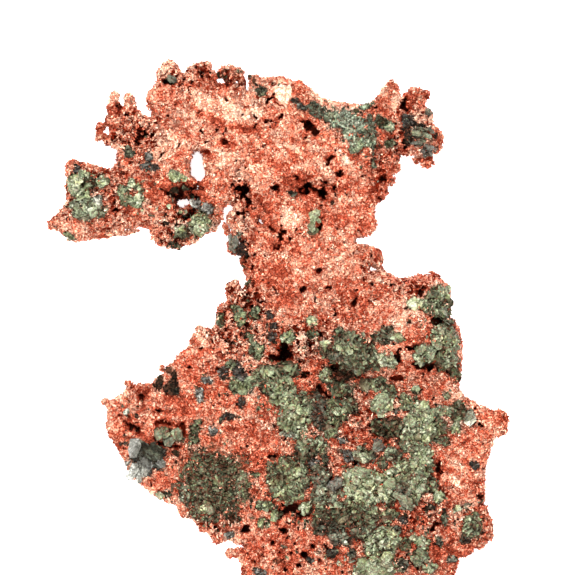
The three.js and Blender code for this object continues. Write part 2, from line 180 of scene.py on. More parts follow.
# Single large prisms: centre, half length, half width, turn in degrees, tone and how grey.
PRISMS = {
    "hip_grey_quartz": [
        (-56.6, -42.6, 4.4, 2.5, 66, FRESH, 1), (-50.2, -44.4, 5.4, 1.9, -36, 0.14, 0.5),
        (-46.4, -48.2, 3, 1.9, -48, MID, 1), (-51.8, -48.2, 3.6, 1.6, -62, SHADE, 1),
        (-53.4, -40.8, 2.6, 1, -40, SHADE, 0.7), (-47.8, -42.6, 3.4, 1.3, -40, DARK, 0.5),
    ],
    "hip_white_quartz": [
        (-57.2, -52.2, 4.2, 1.9, 62, 0.78, 1), (-52.4, -50.8, 4.2, 1.4, 72, 0.76, 1),
        (-59, -48.4, 2.4, 1.2, 45, FRESH, 1), (-55, -54.6, 2.6, 1.2, 84, 0.7, 1),
        (-54.8, -50, 3, 1, 84, 0.7, 1), (-50.4, -50.2, 2.4, 0.8, 66, FRESH, 1),
    ],
    "hip_green_nodule": [
        (-46.4, -37, 2.4, 1.8, 20, MID, 0.2), (-42.6, -39.6, 3, 2, 50, MID, 0.5),
        (-39.6, -36.8, 2.7, 2, 80, MID, 0.3),
    ],
    "neck_brown_rock": [
        (-18.2, 40.2, 2.8, 1.1, 100, MID, 0.8), (-16.4, 39.4, 2.6, 0.9, 80, SHADE, 0.8),
        (-17.4, 36.6, 2, 1, 130, SHADE, 0.7),
    ],
    "right_arm_rock": [
        (55.6, 82.8, 2.2, 1.3, -14, 0.62, 0.3), (60, 82, 2.2, 1, -24, 0.52, 0.4),
        (60.6, 77.6, 2.6, 1, -20, MID, 0.9), (57.4, 84.9, 3.4, 0.6, -10, SHADE, 0.5),
        (57.4, 80.4, 2.6, 0.9, -30, 0.5, 0.5), (61, 75.4, 2.2, 0.9, -50, MID, 0.9),
        (61.6, 84, 2, 0.7, -40, SHADE, 0.6), (55.4, 79, 2.2, 0.7, 10, SHADE, 0.8),
        (58.2, 76, 1.6, 0.8, -30, SHADE, 1),
    ],
    "throat_green_crystal": [
        (15.4, 50.4, 2.8, 1.6, 35, 0.78, 0), (14.4, 48.8, 2.2, 1.2, 80, 0.74, 0),
        (16.4, 48.4, 1.8, 0.9, -40, FRESH, 0), (14, 45.2, 2.2, 1.4, 100, 0.6, 0),
        (15.2, 43.4, 2, 1.1, 30, MID, 0), (13.4, 43.2, 1.4, 0.9, -20, SHADE, 0),
    ],
    "lower_green_mass": [
        (50.2, -62.4, 4.6, 1.5, -30, FRESH, 0.3), (56.8, -58.6, 3, 1.5, 40, FRESH, 0.2),
        (45, -56.4, 3, 2, 20, FRESH, 0.1), (33.4, -52, 4, 2.1, -8, FRESH, 0.1),
        (23.6, -57.2, 3, 1.6, 30, MID, 0.8), (40, -42, 2.6, 1.9, 70, MID, 0.7),
    ],
    "belly_green_right": [(42.4, -23.6, 3.4, 2.4, 60, FRESH, 0.1), (76.4, -30, 2.6, 1.7, 50, MID, 0.5)],
    "foot_green_mass": [
        (44, -86, 2.8, 1.9, 60, PALE, 0), (38.4, -91, 3, 2, 30, PALE, 0),
        (34.6, -88.8, 2.8, 1.8, 120, FRESH, 0),
    ],
}

# Small crystals that sit alone in the copper, in the same form as the minerals.
SPECKS = [
    (-15, 9.4, 2.4, 3.6, 0, MID, 0), (-8.6, 11, 1.9, 2.4, 0, SHADE, 0), (-10.2, 1.6, 2.3, 2.3, 0, MID, 0),
    (4.6, 1.4, 2.6, 2.1, 0, FRESH, 0), (13.8, 8.4, 2.5, 2.4, 0, CREAM, 0), (14, 3, 2, 1.3, 0, SHADE, 0),
    (24.6, 4.4, 2, 1.8, 0, FRESH, 0), (-14.6, -17.6, 4.6, 3, 0, MID, 0),
    (-14.6, -11.6, 2.4, 4, 0, DARK, 1), (-7.8, -4.4, 2.8, 2.6, 0, SHADE, 0),
    (-27.8, -15.4, 2.3, 1.7, 0, MID, 1), (-30.8, -21, 1.8, 3.4, 0, FRESH, 1),
    (-25.6, -35.6, 2.1, 2.3, 0, FRESH, 1), (26.2, -39.4, 2.2, 1.7, 0, SHADE, 1),
    (28.2, -45.8, 1.9, 2.2, 0, SHADE, 1), (55, 15.3, 2.4, 2, 0, CREAM, 0), (55, -19.6, 2, 1.6, 0, MID, 0),
    (67.8, -22, 1.7, 2, 0, MID, 0), (-5.4, -72.4, 2.5, 1.9, 0, MID, 0),
    (-4.6, -65.2, 3.6, 2.2, 0, MID, 0), (-7.8, -53.2, 1.4, 1.3, 0, FRESH, 0),
    (0.2, -69.2, 2, 1.8, 0, MID, 0), (64.6, -62.4, 2.5, 2.3, 0, PALE, 0),
    (72.6, -66.8, 2.4, 1.7, 20, PALE, 0), (67, -70.8, 1.3, 4.4, 0, SHADE, 0.3),
    (65.4, -79.6, 1.4, 2, 0, SHADE, 0.6), (50.6, -71.6, 1.4, 1.4, 0, DARK, 1),
    (0.6, -87.2, 3, 1.6, 0, BLACK, 1), (14.4, -48.4, 2, 1.6, 0, SHADE, 1),
    (19.6, -46.6, 2, 2, 0, SHADE, 0.3), (-41.8, 104.4, 2.6, 1.3, 0, SHADE, 0.6),
    (-21.2, -12.2, 2, 2, 0, DARK, 1), (-17.9, -9.6, 1.7, 1.6, 0, SHADE, 0),
    (-13.9, -24.3, 1.3, 2, 0, DARK, 1), (-18.6, -30.3, 3, 1.2, 0, DARK, 1),
    (-31, -32.3, 1.6, 1.4, 0, SHADE, 0), (-32.6, -35, 2, 1.7, 0, SHADE, 0),
    (-33.3, -38.4, 1.6, 2, 0, SHADE, 0), (-46, -61.4, 1.7, 1.9, 0, FRESH, 0),
    (-43.4, -61, 2.4, 2.2, 0, DARK, 0.2), (-59.9, -28.3, 1.8, 1.2, 20, CREAM, 0.6),
    (-22.4, 8.2, 1.5, 2.6, 0, SHADE, 0), (-0.6, 6.2, 2, 1.4, 0, DARK, 1), (-1.6, 1.7, 2, 2.2, 0, DARK, 1),
    (-18.8, -77.6, 1.9, 1.6, 0, MID, 0.9), (-7, -91.4, 2.5, 2, 0, MID, 1),
    (-50.9, 73.4, 1.6, 1.5, 0, SHADE, 1), (-51.6, 69.9, 1.7, 1.5, 0, SHADE, 1),
    (-48.4, 69.2, 1.5, 1.3, 0, DARK, 1), (-59.1, 75.4, 2.5, 1.7, -20, SHADE, 0.4),
    (-79.6, 68.4, 2, 1.6, 0, DARK, 1), (-39.4, 65.4, 3, 1.7, -8, PALE, 0),
    (-32.4, 54.3, 2, 1.8, 0, MID, 1), (-28, 52.8, 2, 1.9, 0, FRESH, 1), (-83, 42, 3, 1.5, -25, MID, 0),
    (-40, 37.4, 3, 1.4, -15, DARK, 0.2), (-6.9, 100, 2.7, 2.4, 0, SHADE, 0.3),
    (8.8, 94.6, 4, 1.4, -38, DARK, 0.8), (45.4, 85.2, 1.9, 1.7, -32, PALE, 0.1),
    (42, 87.4, 2.6, 1.6, -40, DARK, 0.1), (45.4, 79, 2, 1.6, 0, SHADE, 0),
    (60.3, 91, 1.8, 1.5, 0, MID, 0.7), (52.5, 87.6, 2, 2, 0, DARK, 1), (6, 59, 2, 0.9, -10, DARK, 0.4),
    (22.6, 55.4, 1.2, 0.8, 30, INK, 0.3), (-16.4, 13.6, 2.2, 1.2, -20, SHADE, 0),
    (-14.6, 31, 1.8, 2.2, 0, SHADE, 0.2), (-12, 24, 1.9, 2, 0, DARK, 0.2),
    (-2.6, 10.6, 1.2, 1.2, 0, DARK, 1), (61.4, -66.4, 1.3, 1.2, 0, DARK, 0.5),
    (57.8, -44.4, 2, 2, 0, FRESH, 0), (48, -74.4, 1.8, 1.4, 0, SHADE, 0.5),
    (-40.6, 60, 2, 1.1, 0, INK, 0.2), (-36.4, 60.8, 2, 0.9, -10, DARK, 0.2),
    (12.8, -87, 1.7, 1.2, 0, DARK, 0.8), (22.4, -84.6, 2.2, 1.6, 20, DARK, 0.7),
    (30, -84.8, 2, 2, 0, DARK, 0.6), (50.8, -88.6, 1.8, 1.6, 0, DARK, 0.6),
    (70, -86.8, 1.6, 1.2, 0, SHADE, 0.6), (79.4, -49.6, 1.6, 1.4, 0, SHADE, 1),
]

# Stretches of copper strewn with single crystals, in the same form.
SPRINKLES = [
    (-6.4, -60.4, 5, 9, 0, SHADE, 0), (-6, -27.4, 6.5, 4.5, 0, DARK, 0.6),
    (-20, -20, 3, 3.6, 0, DARK, 0.8), (20, -36, 16, 12, 0, SHADE, 0.3), (36, -30, 16, 10, 0, SHADE, 0.2),
    (50, -17, 16, 5, 0, SHADE, 0.2), (30, -47, 22, 8, 0, SHADE, 0.4), (10, -70, 14, 5, 0, SHADE, 0.3),
    (55, -74, 14, 12, 0, SHADE, 0.2), (22, -84, 16, 8, 0, DARK, 0.5), (-8, 2, 14, 14, 0, SHADE, 0.3),
    (8, -6, 12, 7, 0, DARK, 0.3), (-14, -14, 12, 9, 0, SHADE, 0.4), (-58, 56, 10, 10, 0, SHADE, 0.3),
    (-37, 57, 7, 7, 0, DARK, 0.5), (-36, 50, 8, 8, 0, SHADE, 0.4), (-50, 74, 5, 10, 0, DARK, 0.8),
    (-12, 106, 16, 5, -10, DARK, 0.3), (52, 84, 14, 9, 0, DARK, 0.3), (40, 80, 6, 14, 0, SHADE, 0.2),
    (60, 8, 10, 10, 0, SHADE, 0.2), (-58, -30, 6, 8, 20, DARK, 0.5), (-32, -34, 5, 7, 0, SHADE, 0.3),
    (62, -62, 10, 8, 0, SHADE, 0.2), (78, -72, 8, 10, 0, SHADE, 0.2), (-14, 34, 4, 12, 0, DARK, 0.4),
    (-22, -72, 10, 4, 0, SHADE, 0.3),
]

# Hollows, sunk and painted dark inside as oxide and painted shade; some stand for shadows under the ledge
# and round the lumps and nodules: centre, half widths, turn in degrees, depth.
PITS = [
    (13.4, 85.8, 2.2, 2.6, -30, 3.6), (15.6, 83.8, 1.8, 1.6, -30, 2.4), (-53.8, 82.4, 2, 1.7, 0, 3),
    (-55.4, 80.8, 1.2, 1, 0, 2), (-12.8, 59.6, 2.6, 3, 10, 4.5), (-11.6, 56.2, 1.6, 2, 0, 4),
    (-14.6, 60.4, 1.6, 1.4, 0, 3), (0.2, 61.2, 2, 1.3, 0, 3), (11.8, 61.4, 2.1, 2.4, -20, 4.4),
    (8.4, 65, 2.4, 0.8, -45, 2), (15.4, 60.6, 1.2, 0.8, -20, 2), (18.8, 58.8, 1.7, 2, 20, 3.6),
    (23.4, 61.4, 1.8, 1.3, 20, 2.4), (25.4, 65.6, 1.4, 2.8, 10, 2.6), (21.4, 72.1, 2.2, 1.4, 20, 2.2),
    (28.4, 62.4, 0.9, 0.9, 0, 2), (10.6, 20.4, 1.3, 1.2, 0, 2.4), (3.2, -4.6, 2.8, 3.8, 0, 4.5),
    (-0.5, -6.6, 4, 1.8, 10, 2.8), (30.6, -38.4, 1, 1, 0, 2.4), (65.4, 7.2, 5, 2, -12, 4),
    (62, -9.8, 8.4, 1.8, -6, 3.6), (47.8, -6.6, 1.8, 2.4, 0, 4), (54.2, -2.8, 3.2, 1.8, 15, 3.4),
    (-12.2, -74.4, 1.4, 2.4, 10, 3), (2.4, -75.4, 1.7, 1.4, 0, 3), (-1.2, -80.8, 1.4, 1.3, 0, 2.4),
    (1.4, -84, 1, 1, 0, 2.6), (-11.6, -73.6, 1.2, 1.8, 10, 2.4), (7.4, -80, 1, 1, 0, 2.4),
    (6, -84.6, 0.9, 0.8, 0, 2), (11, -85.2, 1.1, 1, 0, 2.4), (8.6, -89.4, 1, 0.9, 0, 2.2),
    (14.4, -81.6, 1.1, 0.8, 0, 2.2), (3.6, -90.6, 1.2, 1, 0, 2.4), (-8.6, -88.2, 1.4, 0.7, -30, 2),
    (17, -87.6, 0.9, 0.9, 0, 2), (3, -45.8, 6.4, 1.3, 0, 2.6), (81.2, -61.6, 1.6, 1.6, 0, 2.4),
    (82, -75.6, 1.5, 3, 10, 2.4), (64.6, -50.8, 1.4, 3, 0, 2.6), (-37.4, 56.4, 4.6, 4.2, 10, 4),
    (-42.4, 58.4, 1.5, 2, 0, 2.4), (-39, 60.6, 2.2, 1, 0, 2.2), (-30.8, 61.2, 2, 2.6, 10, 2.6),
    (1.6, 41.4, 1.8, 3.4, -10, 3), (-1.6, 44.6, 2.4, 1, -30, 2), (-4.6, 52.4, 0.5, 3.4, 30, 1.4),
    (26, -11.8, 8, 1.9, -25, 4), (-9.4, -33.2, 1, 0.9, 0, 2), (17.4, 46, 1, 3.4, 0, 2.4),
    (14, 41.4, 2.4, 1, 0, 2.4), (-41.8, 103.2, 4, 1.6, 0, 2.8), (7.4, -67.4, 6, 2.6, 0, 2.4),
    (-64.6, 52.2, 1.4, 1.2, 0, 2.6), (-43.9, 50.4, 1.1, 1.1, 0, 2.6), (-36.6, 49.2, 2.4, 2, 0, 1.8),
    (-60.8, 83.2, 0.8, 0.9, 0, 2), (-63.4, 93.8, 2.2, 1.3, 0, 2.4), (-8.6, 13.4, 2.4, 1, 0, 2),
    (51.6, 80, 1.4, 3, 0, 2.8), (52.2, 86, 1.4, 2.6, 0, 2.6), (31, 15.6, 2, 1.6, 30, 2),
    (17, 28.2, 1.5, 1.2, 0, 1.8), (20.8, 21.4, 1.3, 1, 0, 1.8), (-12.6, 35, 2, 2.4, 0, 2.6),
    (-10.6, 22.4, 1.8, 1.4, 0, 2.2), (-37, -35.4, 1.1, 3.2, 10, 1.6), (-43.4, -41.2, 5.2, 1.1, -12, 2.2),
    (-48, -36, 1, 2.6, -10, 1.6), (-43, -33, 4.6, 0.9, -14, 1.6), (-58, -33.6, 4, 1.6, -40, 2),
    (-59.6, -30.2, 2, 1.2, 0, 2), (16.8, -18.8, 2.2, 2.6, 0, 2.2), (12.4, -12.8, 2.6, 1.2, 20, 2),
    (48.4, -14.6, 3, 0.9, 0, 1.6), (32.6, -60.4, 0.8, 0.8, 0, 1.8), (35.4, -67.4, 1.7, 1.3, 0, 2.4),
    (30.6, -70.4, 1.5, 1.6, 0, 2.4), (-27.6, 75.4, 2.4, 1.2, -25, 1.4), (44.4, 60, 1.2, 1.6, 0, 2),
    (41.2, 57, 1, 1.2, 0, 2), (-20.2, 79.6, 1.6, 1.2, 0, 1.8), (61, 97.6, 1.6, 1.2, 0, 1.8),
    (50.6, 94, 1.2, 2.4, -20, 2.2), (42.6, 64.8, 1.4, 1.8, 0, 2),
]

# Tinted places: centre, half widths, turn in degrees, strength. The red places are partly the copper's own
# redder colour and partly painted shade under raised parts, as along the brow.
REDS = [
    (8, 73, 9, 2.6, 12, 0.7), (12, 62, 12, 5.4, -28, 1), (-44, 84, 3, 6, 0, 0.4), (40, 60, 4, 8, 0, 0.6),
    (22, 60, 6, 4, 20, 1), (-28, 89.6, 8, 2.6, -22, 0.9), (-14, 85, 9, 3, -10, 0.9),
    (20.8, 55.4, 3, 2.2, 20, 1), (-6, 75, 14, 4, -14, 0.4), (25, 66, 2.6, 5, 10, 1),
    (61.4, -21.6, 4.4, 3, 0, 1), (37, -40, 3.6, 2.6, 0, 0.9), (21.4, -50, 7, 5, 0, 1),
    (-6, -48, 6, 9, 0, 0.9), (0, 30, 7, 16, 10, 0.45), (32, 18, 8, 9, 0, 0.7), (42, 13, 5, 4, 0, 0.5),
    (44, -50, 4, 2.6, 0, 1), (55, -72, 12, 8, 0, 0.9), (-2, -80, 16, 10, 0, 0.15),
    (-14, -82, 8, 5, 0, 0.4), (20, -62, 70, 60, 0, 0.28), (-40, -28, 22, 16, 0, 0.5),
    (-62, 60, 24, 30, 0, 0.35), (-62, 91, 6, 4, 0, 0.9), (-66, 84, 5, 5, 0, 0.8),
    (-18, 104, 18, 6, 0, 0.7), (9, 101, 3, 3, 0, 0.9), (54, 88, 14, 18, 0, 0.2), (57, 97, 6, 5, 0, 0.8),
    (50, 100, 3, 4, 0, 0.7), (-14, 20, 10, 30, 0, 0.45), (62, 24, 12, 6, 0, 0.7), (44, 64, 5, 10, 0, 0.6),
    (-40, 60, 8, 6, 0, 0.5), (68, -88, 20, 12, 0, 0.5), (-6, 52, 7, 8, 0, 0.5),
    (-36, -50, 22, 22, 0, 0.3),
]
PALES = [
    (5.8, 48.7, 4.6, 6.6, 5, 0.5), (70, -50, 8, 8.5, 0, 0.15), (-31, 1.6, 4, 1.6, -35, 0.7),
    (72, -20, 6, 2, -35, 0.7), (-22, 93, 14, 4, -20, 0.35), (-26, 76, 16, 6, 0, 0.2),
    (-44, 78, 8, 8, 0, 0.3), (28, 72, 8, 2, -45, 0.5), (26, 74.6, 7, 1.4, -45, 0.6),
    (80, -38, 7, 10, 0, 0.1), (48, 95, 3, 5, 0, 0.5), (-84, 47, 5, 3, 40, 0.4), (-8, 68, 10, 3, 0, 0.3),
    (-62, -22, 3, 3, 0, 0.5),
]

# Smooth pale flakes with a groove round them that is painted dark as shade and tarnish: centre, half widths,
# turn in degrees, lift, strength.
FLAKES = [
    (2.6, 98.2, 3.9, 4.7, 10, 0.6, 1), (0.4, 104.2, 2.2, 1.5, -20, 0.4, 0.8),
    (6, 48.6, 2.6, 5.6, 16, 0.4, 0.4), (-29.2, -1, 3, 1.5, -35, 0.4, 0.7),
    # The flake at 71.4, -56.4 is a painted highlight on a smooth lobe.
    (71.4, -56.4, 2, 4.4, 35, 0.4, 0.6), (54.6, -13.8, 1.3, 4.2, 20, 0.3, 0.4),
    (80, -24.6, 3.4, 1.1, -40, 0.3, 0.5), (26.4, 75.4, 6, 0.8, -45, 0.3, 0.4),
]

# Spongy stretches, full of holes and hooks, in the same form. The rest is a fine crumpled plate.
SPONGES = [
    (-70, 58, 24, 20, 0, 0.8), (-58, 84, 16, 14, 0, 0.9), (-26, 106, 34, 7, -4, 0.9),
    (54, 86, 17, 22, 0, 0.75), (-36, 46, 16, 12, 0, 1), (-14, 44, 7, 26, 0, 0.8), (-16, 8, 18, 22, 0, 1),
    (58, 22, 18, 10, 0, 0.8), (38, 30, 6, 12, 0, 0.7), (-56, -24, 12, 10, 0, 0.5),
    (10, -84, 26, 16, 0, 0.25), (20, -46, 14, 10, 0, 0.6), (84, -70, 8, 20, 0, 0.6),
    (60, -92, 20, 14, 0, 0.5), (-30, -74, 16, 8, 0, 0.6), (12, 0, 16, 12, 0, 0.9),
    (24, 12, 26, 16, 0, 0.45), (36, -32, 36, 18, 0, 0.6), (60, -70, 18, 16, 0, 0.6),
    (-40, 90, 8, 10, 0, 0.4), (-10, 98, 10, 12, 0, 0.6), (14, 62, 14, 6, -15, 0.5),
    (-10, 58, 5, 6, 0, 0.7), (42, 66, 6, 12, 0, 0.7), (-8, -32, 14, 10, 0, 0.4),
]

# Changes to the sheet's edge: centre, half widths, turn in degrees, and 1 to add copper or -1 to cut it.
EDGES = [
    (-22.4, 104, 1.6, 1.1, 0, -1), (-15.8, 103.4, 0.9, 0.8, 20, -1), (-11.6, 102.4, 0.9, 2.4, 0, -1),
    (-6.3, 47.8, 0.7, 1.8, 35, -1), (38.6, 28.8, 1.6, 0.9, -20, -1), (-31.6, 61.4, 0.7, 1.3, 0, -1),
    (-62, 96.6, 1.8, 1.5, 0, -1), (-64.8, 97.6, 2, 2, 0, 1), (-59, 97.4, 1.9, 1.8, 0, 1),
    (-31.6, 72.6, 2.4, 3.6, 4, -1), (-30.8, 67, 2.7, 3.2, 0, -1), (-37.4, 55.2, 2.5, 1.8, 0, -1),
    (-19, 53.2, 1.9, 1.5, 0, -1), (-20.6, 50, 0.9, 3.2, 0, -1), (-67.8, 84, 1, 1.8, 0, -1),
    (-36.8, 109.4, 1.3, 2.6, -20, -1), (-24.4, 109.6, 1.3, 2.4, 10, -1), (-12.4, 106, 1, 1.6, 0, -1),
    (-61.6, 95.6, 1, 2, 8, -1), (-14.6, 36.4, 1.4, 3.4, 8, -1), (-14, 28, 1, 2.6, 0, -1),
    (-75, 72, 9, 1.2, -14, -1), (-59.5, 43.4, 6, 0.7, 12, 1), (-52.2, 41.8, 0.9, 3, 10, -1),
    (-46.9, 106.8, 1.1, 2.6, 0, 1), (-0.6, 104.6, 5, 1.1, 0, 1), (27.6, 94.2, 5.4, 1, -8, 1),
    (59.8, 98.4, 1.4, 1.8, -10, 1), (55.6, 72, 0.8, 2, 35, 1), (50, 70.6, 0.9, 2.8, 5, -1),
    (46.4, 63.4, 0.5, 3, -22, 1), (-20.2, 44.8, 0.9, 3.2, 18, 1), (-25.2, 8.4, 0.9, 3.2, -10, -1),
    (-24.6, 12.6, 0.9, 2.2, 0, -1), (-31, 4.8, 1.4, 1.3, 0, 1), (-45.8, -11, 1.2, 1, 30, 1),
    (-68.4, -24, 1.6, 0.9, 20, 1), (-59.4, -17, 1.8, 0.9, 0, 1), (80.6, -20.8, 8.4, 1.5, -37, -1),
    (91, -32, 1.3, 4.2, 0, 1), (85.6, -75, 0.9, 6, 5, 1), (84.6, -54, 1.3, 8, -3, -1),
    (-18.8, -84.8, 1.3, 2, -20, 1), (-27.8, -77.8, 2, 1, -40, -1), (-89, 51.4, 3.4, 0.8, 38, -1),
]


class NuggetSizes(bpy.types.PropertyGroup):
    """Sizes that set how fine and how rough the surfaces are, in metres."""

    step: bpy.props.FloatProperty(
        name="Grid step", description="Spacing of the copper's points", default=0.0005, unit="LENGTH")
    rim: bpy.props.FloatProperty(
        name="Rim rounding", description="Width of the rounded rim", default=0.0028, unit="LENGTH")
    hackle: bpy.props.FloatProperty(
        name="Hackles", description="Height of the copper's small knobs", default=0.0009, unit="LENGTH")
    hook: bpy.props.FloatProperty(
        name="Copper hook", description="Half length of a copper hook", default=0.0009, unit="LENGTH")
    crystal: bpy.props.FloatProperty(
        name="Crystal", description="Half length of a mineral crystal", default=0.00135, unit="LENGTH")
    hooks: bpy.props.IntProperty(
        name="Copper hooks", description="How many hooks of copper there are in each layer", default=16000)
    faces: bpy.props.IntProperty(
        name="Copper faces", description="Most triangles in the copper sheet", default=196000)


class NuggetColours(bpy.types.PropertyGroup):
    """Colours of the copper and of its minerals."""

    copper: bpy.props.FloatVectorProperty(
        name="Copper", description="Clean copper", subtype="COLOR", size=4,
        default=(0.85, 0.375, 0.232, 1))
    # The palest copper; painted highlights on lumps and ridges and painted glints on hooks reach it too.
    pale: bpy.props.FloatVectorProperty(
        name="Pale copper", description="Polished crumbs", subtype="COLOR", size=4,
        default=(1.0, 0.7, 0.52, 1))
    red: bpy.props.FloatVectorProperty(
        name="Red copper", description="Redder crumbs", subtype="COLOR", size=4,
        default=(0.86, 0.19, 0.095, 1))
    # Used for tarnish and painted shade in the seams and hollows.
    seam: bpy.props.FloatVectorProperty(
        name="Seam", description="Tarnish in the seams between crumbs", subtype="COLOR", size=4,
        default=(0.17, 0.013, 0.004, 1))
    # Used for oxide and painted shade in the deepest hollows and pinholes.
    pit: bpy.props.FloatVectorProperty(
        name="Pit", description="Oxide in the deepest holes", subtype="COLOR", size=4,
        default=(0.026, 0.004, 0.002, 1))
    green: bpy.props.FloatVectorProperty(
        name="Green", description="Middle tone of the green crystals", subtype="COLOR", size=4,
        default=(0.112, 0.138, 0.074, 1))
    teal: bpy.props.FloatVectorProperty(
        name="Teal", description="Middle tone of the crust on the head", subtype="COLOR", size=4,
        default=(0.12, 0.165, 0.1, 1))
    cream: bpy.props.FloatVectorProperty(
        name="Cream", description="Palest tone of the crystals", subtype="COLOR", size=4,
        default=(0.45, 0.48, 0.33, 1))
    rust: bpy.props.FloatVectorProperty(
        name="Rust", description="Brown stains in the minerals", subtype="COLOR", size=4,
        default=(0.125, 0.048, 0.028, 1))
    grey: bpy.props.FloatVectorProperty(
        name="Grey", description="Middle tone of the grey quartz", subtype="COLOR", size=4,
        default=(0.104, 0.098, 0.092, 1))
    floor: bpy.props.FloatVectorProperty(
        name="Floor", description="Pale floor", subtype="COLOR", size=4, default=(0.93, 0.93, 0.93, 1))


# Fields over the plan, in millimetres.


def smooth(t):
    """0 below 0, 1 above 1, and 3t squared less 2t cubed between."""
    t = np.clip(t, 0, 1)
    return t * t * (3 - 2 * t)


def chance(i, j, seed):
    """A random number from 0 to 1 that belongs to one square of a lattice. Its column, its row and the
    seed, each times a large prime, are mixed by exclusive or, and the last 16 bits pick the number."""
    p, q, r = LATTICE_PRIMES
    return CHANCES[((i * p) ^ (j * q) ^ (seed * r)) & (len(CHANCES) - 1)]


def noise(x, y, size, seed):
    """Smooth noise from -1 to 1: random heights on a lattice, blended by smoothstep between its points."""
    turn = 0.7 + seed
    u = (x * math.cos(turn) + y * math.sin(turn)) / size
    v = (y * math.cos(turn) - x * math.sin(turn)) / size
    i, j = np.floor(u).astype(int), np.floor(v).astype(int)
    a, b = smooth(u - i), smooth(v - j)
    low = chance(i, j, seed) * (1 - a) + chance(i + 1, j, seed) * a
    high = chance(i, j + 1, seed) * (1 - a) + chance(i + 1, j + 1, seed) * a
    return 2 * (low * (1 - b) + high * b) - 1


def fractal(x, y, size, octaves, seed):
    """Noise plus finer noise at half the size and 0.55 of the height, and so on."""
    total = np.zeros_like(x)
    for k in range(octaves):
        total = total + 0.55**k * noise(x, y, size / 2**k, seed + 17 * k)
    return total


def cells(x, y, size, seed):
    """Random cells: distance to the nearest cell centre and to the next, in cell sizes, and a number for
    each cell."""
    u, v = x / size, y / size
    i, j = np.floor(u).astype(int), np.floor(v).astype(int)
    first, second = np.full(u.shape, 9.0), np.full(u.shape, 9.0)
    number = np.zeros(u.shape)
    for di in (-1, 0, 1):
        for dj in (-1, 0, 1):
            a, b = i + di, j + dj
            away = np.hypot(a + chance(a, b, seed) - u, b + chance(a, b, seed + 1) - v)
            nearer = away < first
            second = np.where(nearer, first, np.minimum(second, away))
            number = np.where(nearer, chance(a, b, seed + 2), number)
            first = np.where(nearer, away, first)
    return first, second, number


def inside_ellipse(x, y, place):
    """1 at an ellipse's centre, 0 on its line and negative outside."""
    cx, cy, rx, ry, turn = place[:5]
    c, s = math.cos(math.radians(turn)), math.sin(math.radians(turn))
    u, v = (x - cx) * c + (y - cy) * s, (y - cy) * c - (x - cx) * s
    return 1 - np.hypot(u / rx, v / ry)


def painted(x, y, places, edge):
    """Strength of the strongest of several soft ellipses at each point, with ragged edges."""
    rough = 0.3 * fractal(x, y, 4, 3, 91)
    total = np.zeros_like(x)
    for place in places:
        total = np.maximum(total, place[5] * smooth((inside_ellipse(x, y, place) + rough) / edge + 0.3))
    return total


def spread(values, known, rounds):
    """Fills the points beside the known ones with the mean of their known neighbours, again and again."""
    values, known = np.where(known, values, 0.0), known.astype(float)
    for _ in range(rounds):
        total, weight = np.zeros_like(values), np.zeros_like(values)
        for axis in (0, 1):
            for shift in (-1, 1):
                total += np.roll(values * known, shift, axis)
                weight += np.roll(known, shift, axis)
        fresh = (known == 0) & (weight > 0)
        values = np.where(fresh, total / np.maximum(weight, 1), values)
        known = np.where(fresh, 1.0, known)
    return values


def blurred(values, rounds):
    """Each round replaces a value by the mean of it and its neighbours along both axes."""
    for _ in range(rounds):
        for axis in (0, 1):
            values = (np.roll(values, 1, axis) + 2 * values + np.roll(values, -1, axis)) / 4
    return values


def distance(inside, step, reach):
    """Distance from each point inside to the nearest point outside, up to reach, by steps to neighbours."""
    away = np.where(inside, reach, 0.0)
    for _ in range(int(reach / step)):
        for axis in (0, 1):
            for shift in (-1, 1):
                away = np.minimum(away, np.roll(away, shift, axis) + step)
        for shift in ((1, 1), (1, -1), (-1, 1), (-1, -1)):
            away = np.minimum(away, np.roll(away, shift, (0, 1)) + 1.4142 * step)
    return away


def projected(node, x, y, from_above):
    """Height of a CAD node over each point of the plan, as seen from above or below, and where there is
    one: points dropped straight onto the node, of which those that hit nothing stay where they were."""
    clear, touch = 0.02, 1e-6
    far = (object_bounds()[1].z + clear) if from_above else -clear
    points = np.column_stack([x.ravel() * MM, y.ravel() * MM, np.full(x.size, far)])
    probe = bpy.data.objects.new("probe", bpy.data.meshes.new("probe"))
    probe.data.vertices.add(len(points))
    probe.data.vertices.foreach_set("co", points.ravel())
    bpy.context.scene.collection.objects.link(probe)
    wrap = probe.modifiers.new("Drop", "SHRINKWRAP")
    wrap.target = frame["nodes"][node]
    wrap.wrap_method = "PROJECT"
    wrap.use_project_z = True
    wrap.use_positive_direction = not from_above
    wrap.use_negative_direction = from_above
    found = probe.evaluated_get(bpy.context.evaluated_depsgraph_get()).data
    out = np.empty(len(points) * 3)
    found.vertices.foreach_get("co", out)
    z = out.reshape(-1, 3)[:, 2].reshape(x.shape)
    bpy.data.objects.remove(probe)
    return z / MM, np.abs(z - far) > touch


def sampled(values, plan, x, y):
    """The value of a field at any points of the plan, blended between the four nearest grid points."""
    u = np.clip((x - plan["x"][0, 0]) / plan["step"], 0, values.shape[1] - 1.001)
    v = np.clip((y - plan["y"][0, 0]) / plan["step"], 0, values.shape[0] - 1.001)
    i, j = u.astype(int), v.astype(int)
    a, b = u - i, v - j
    low = values[j, i] * (1 - a) + values[j, i + 1] * a
    high = values[j + 1, i] * (1 - a) + values[j + 1, i + 1] * a
    return low * (1 - b) + high * b


# Meshes.


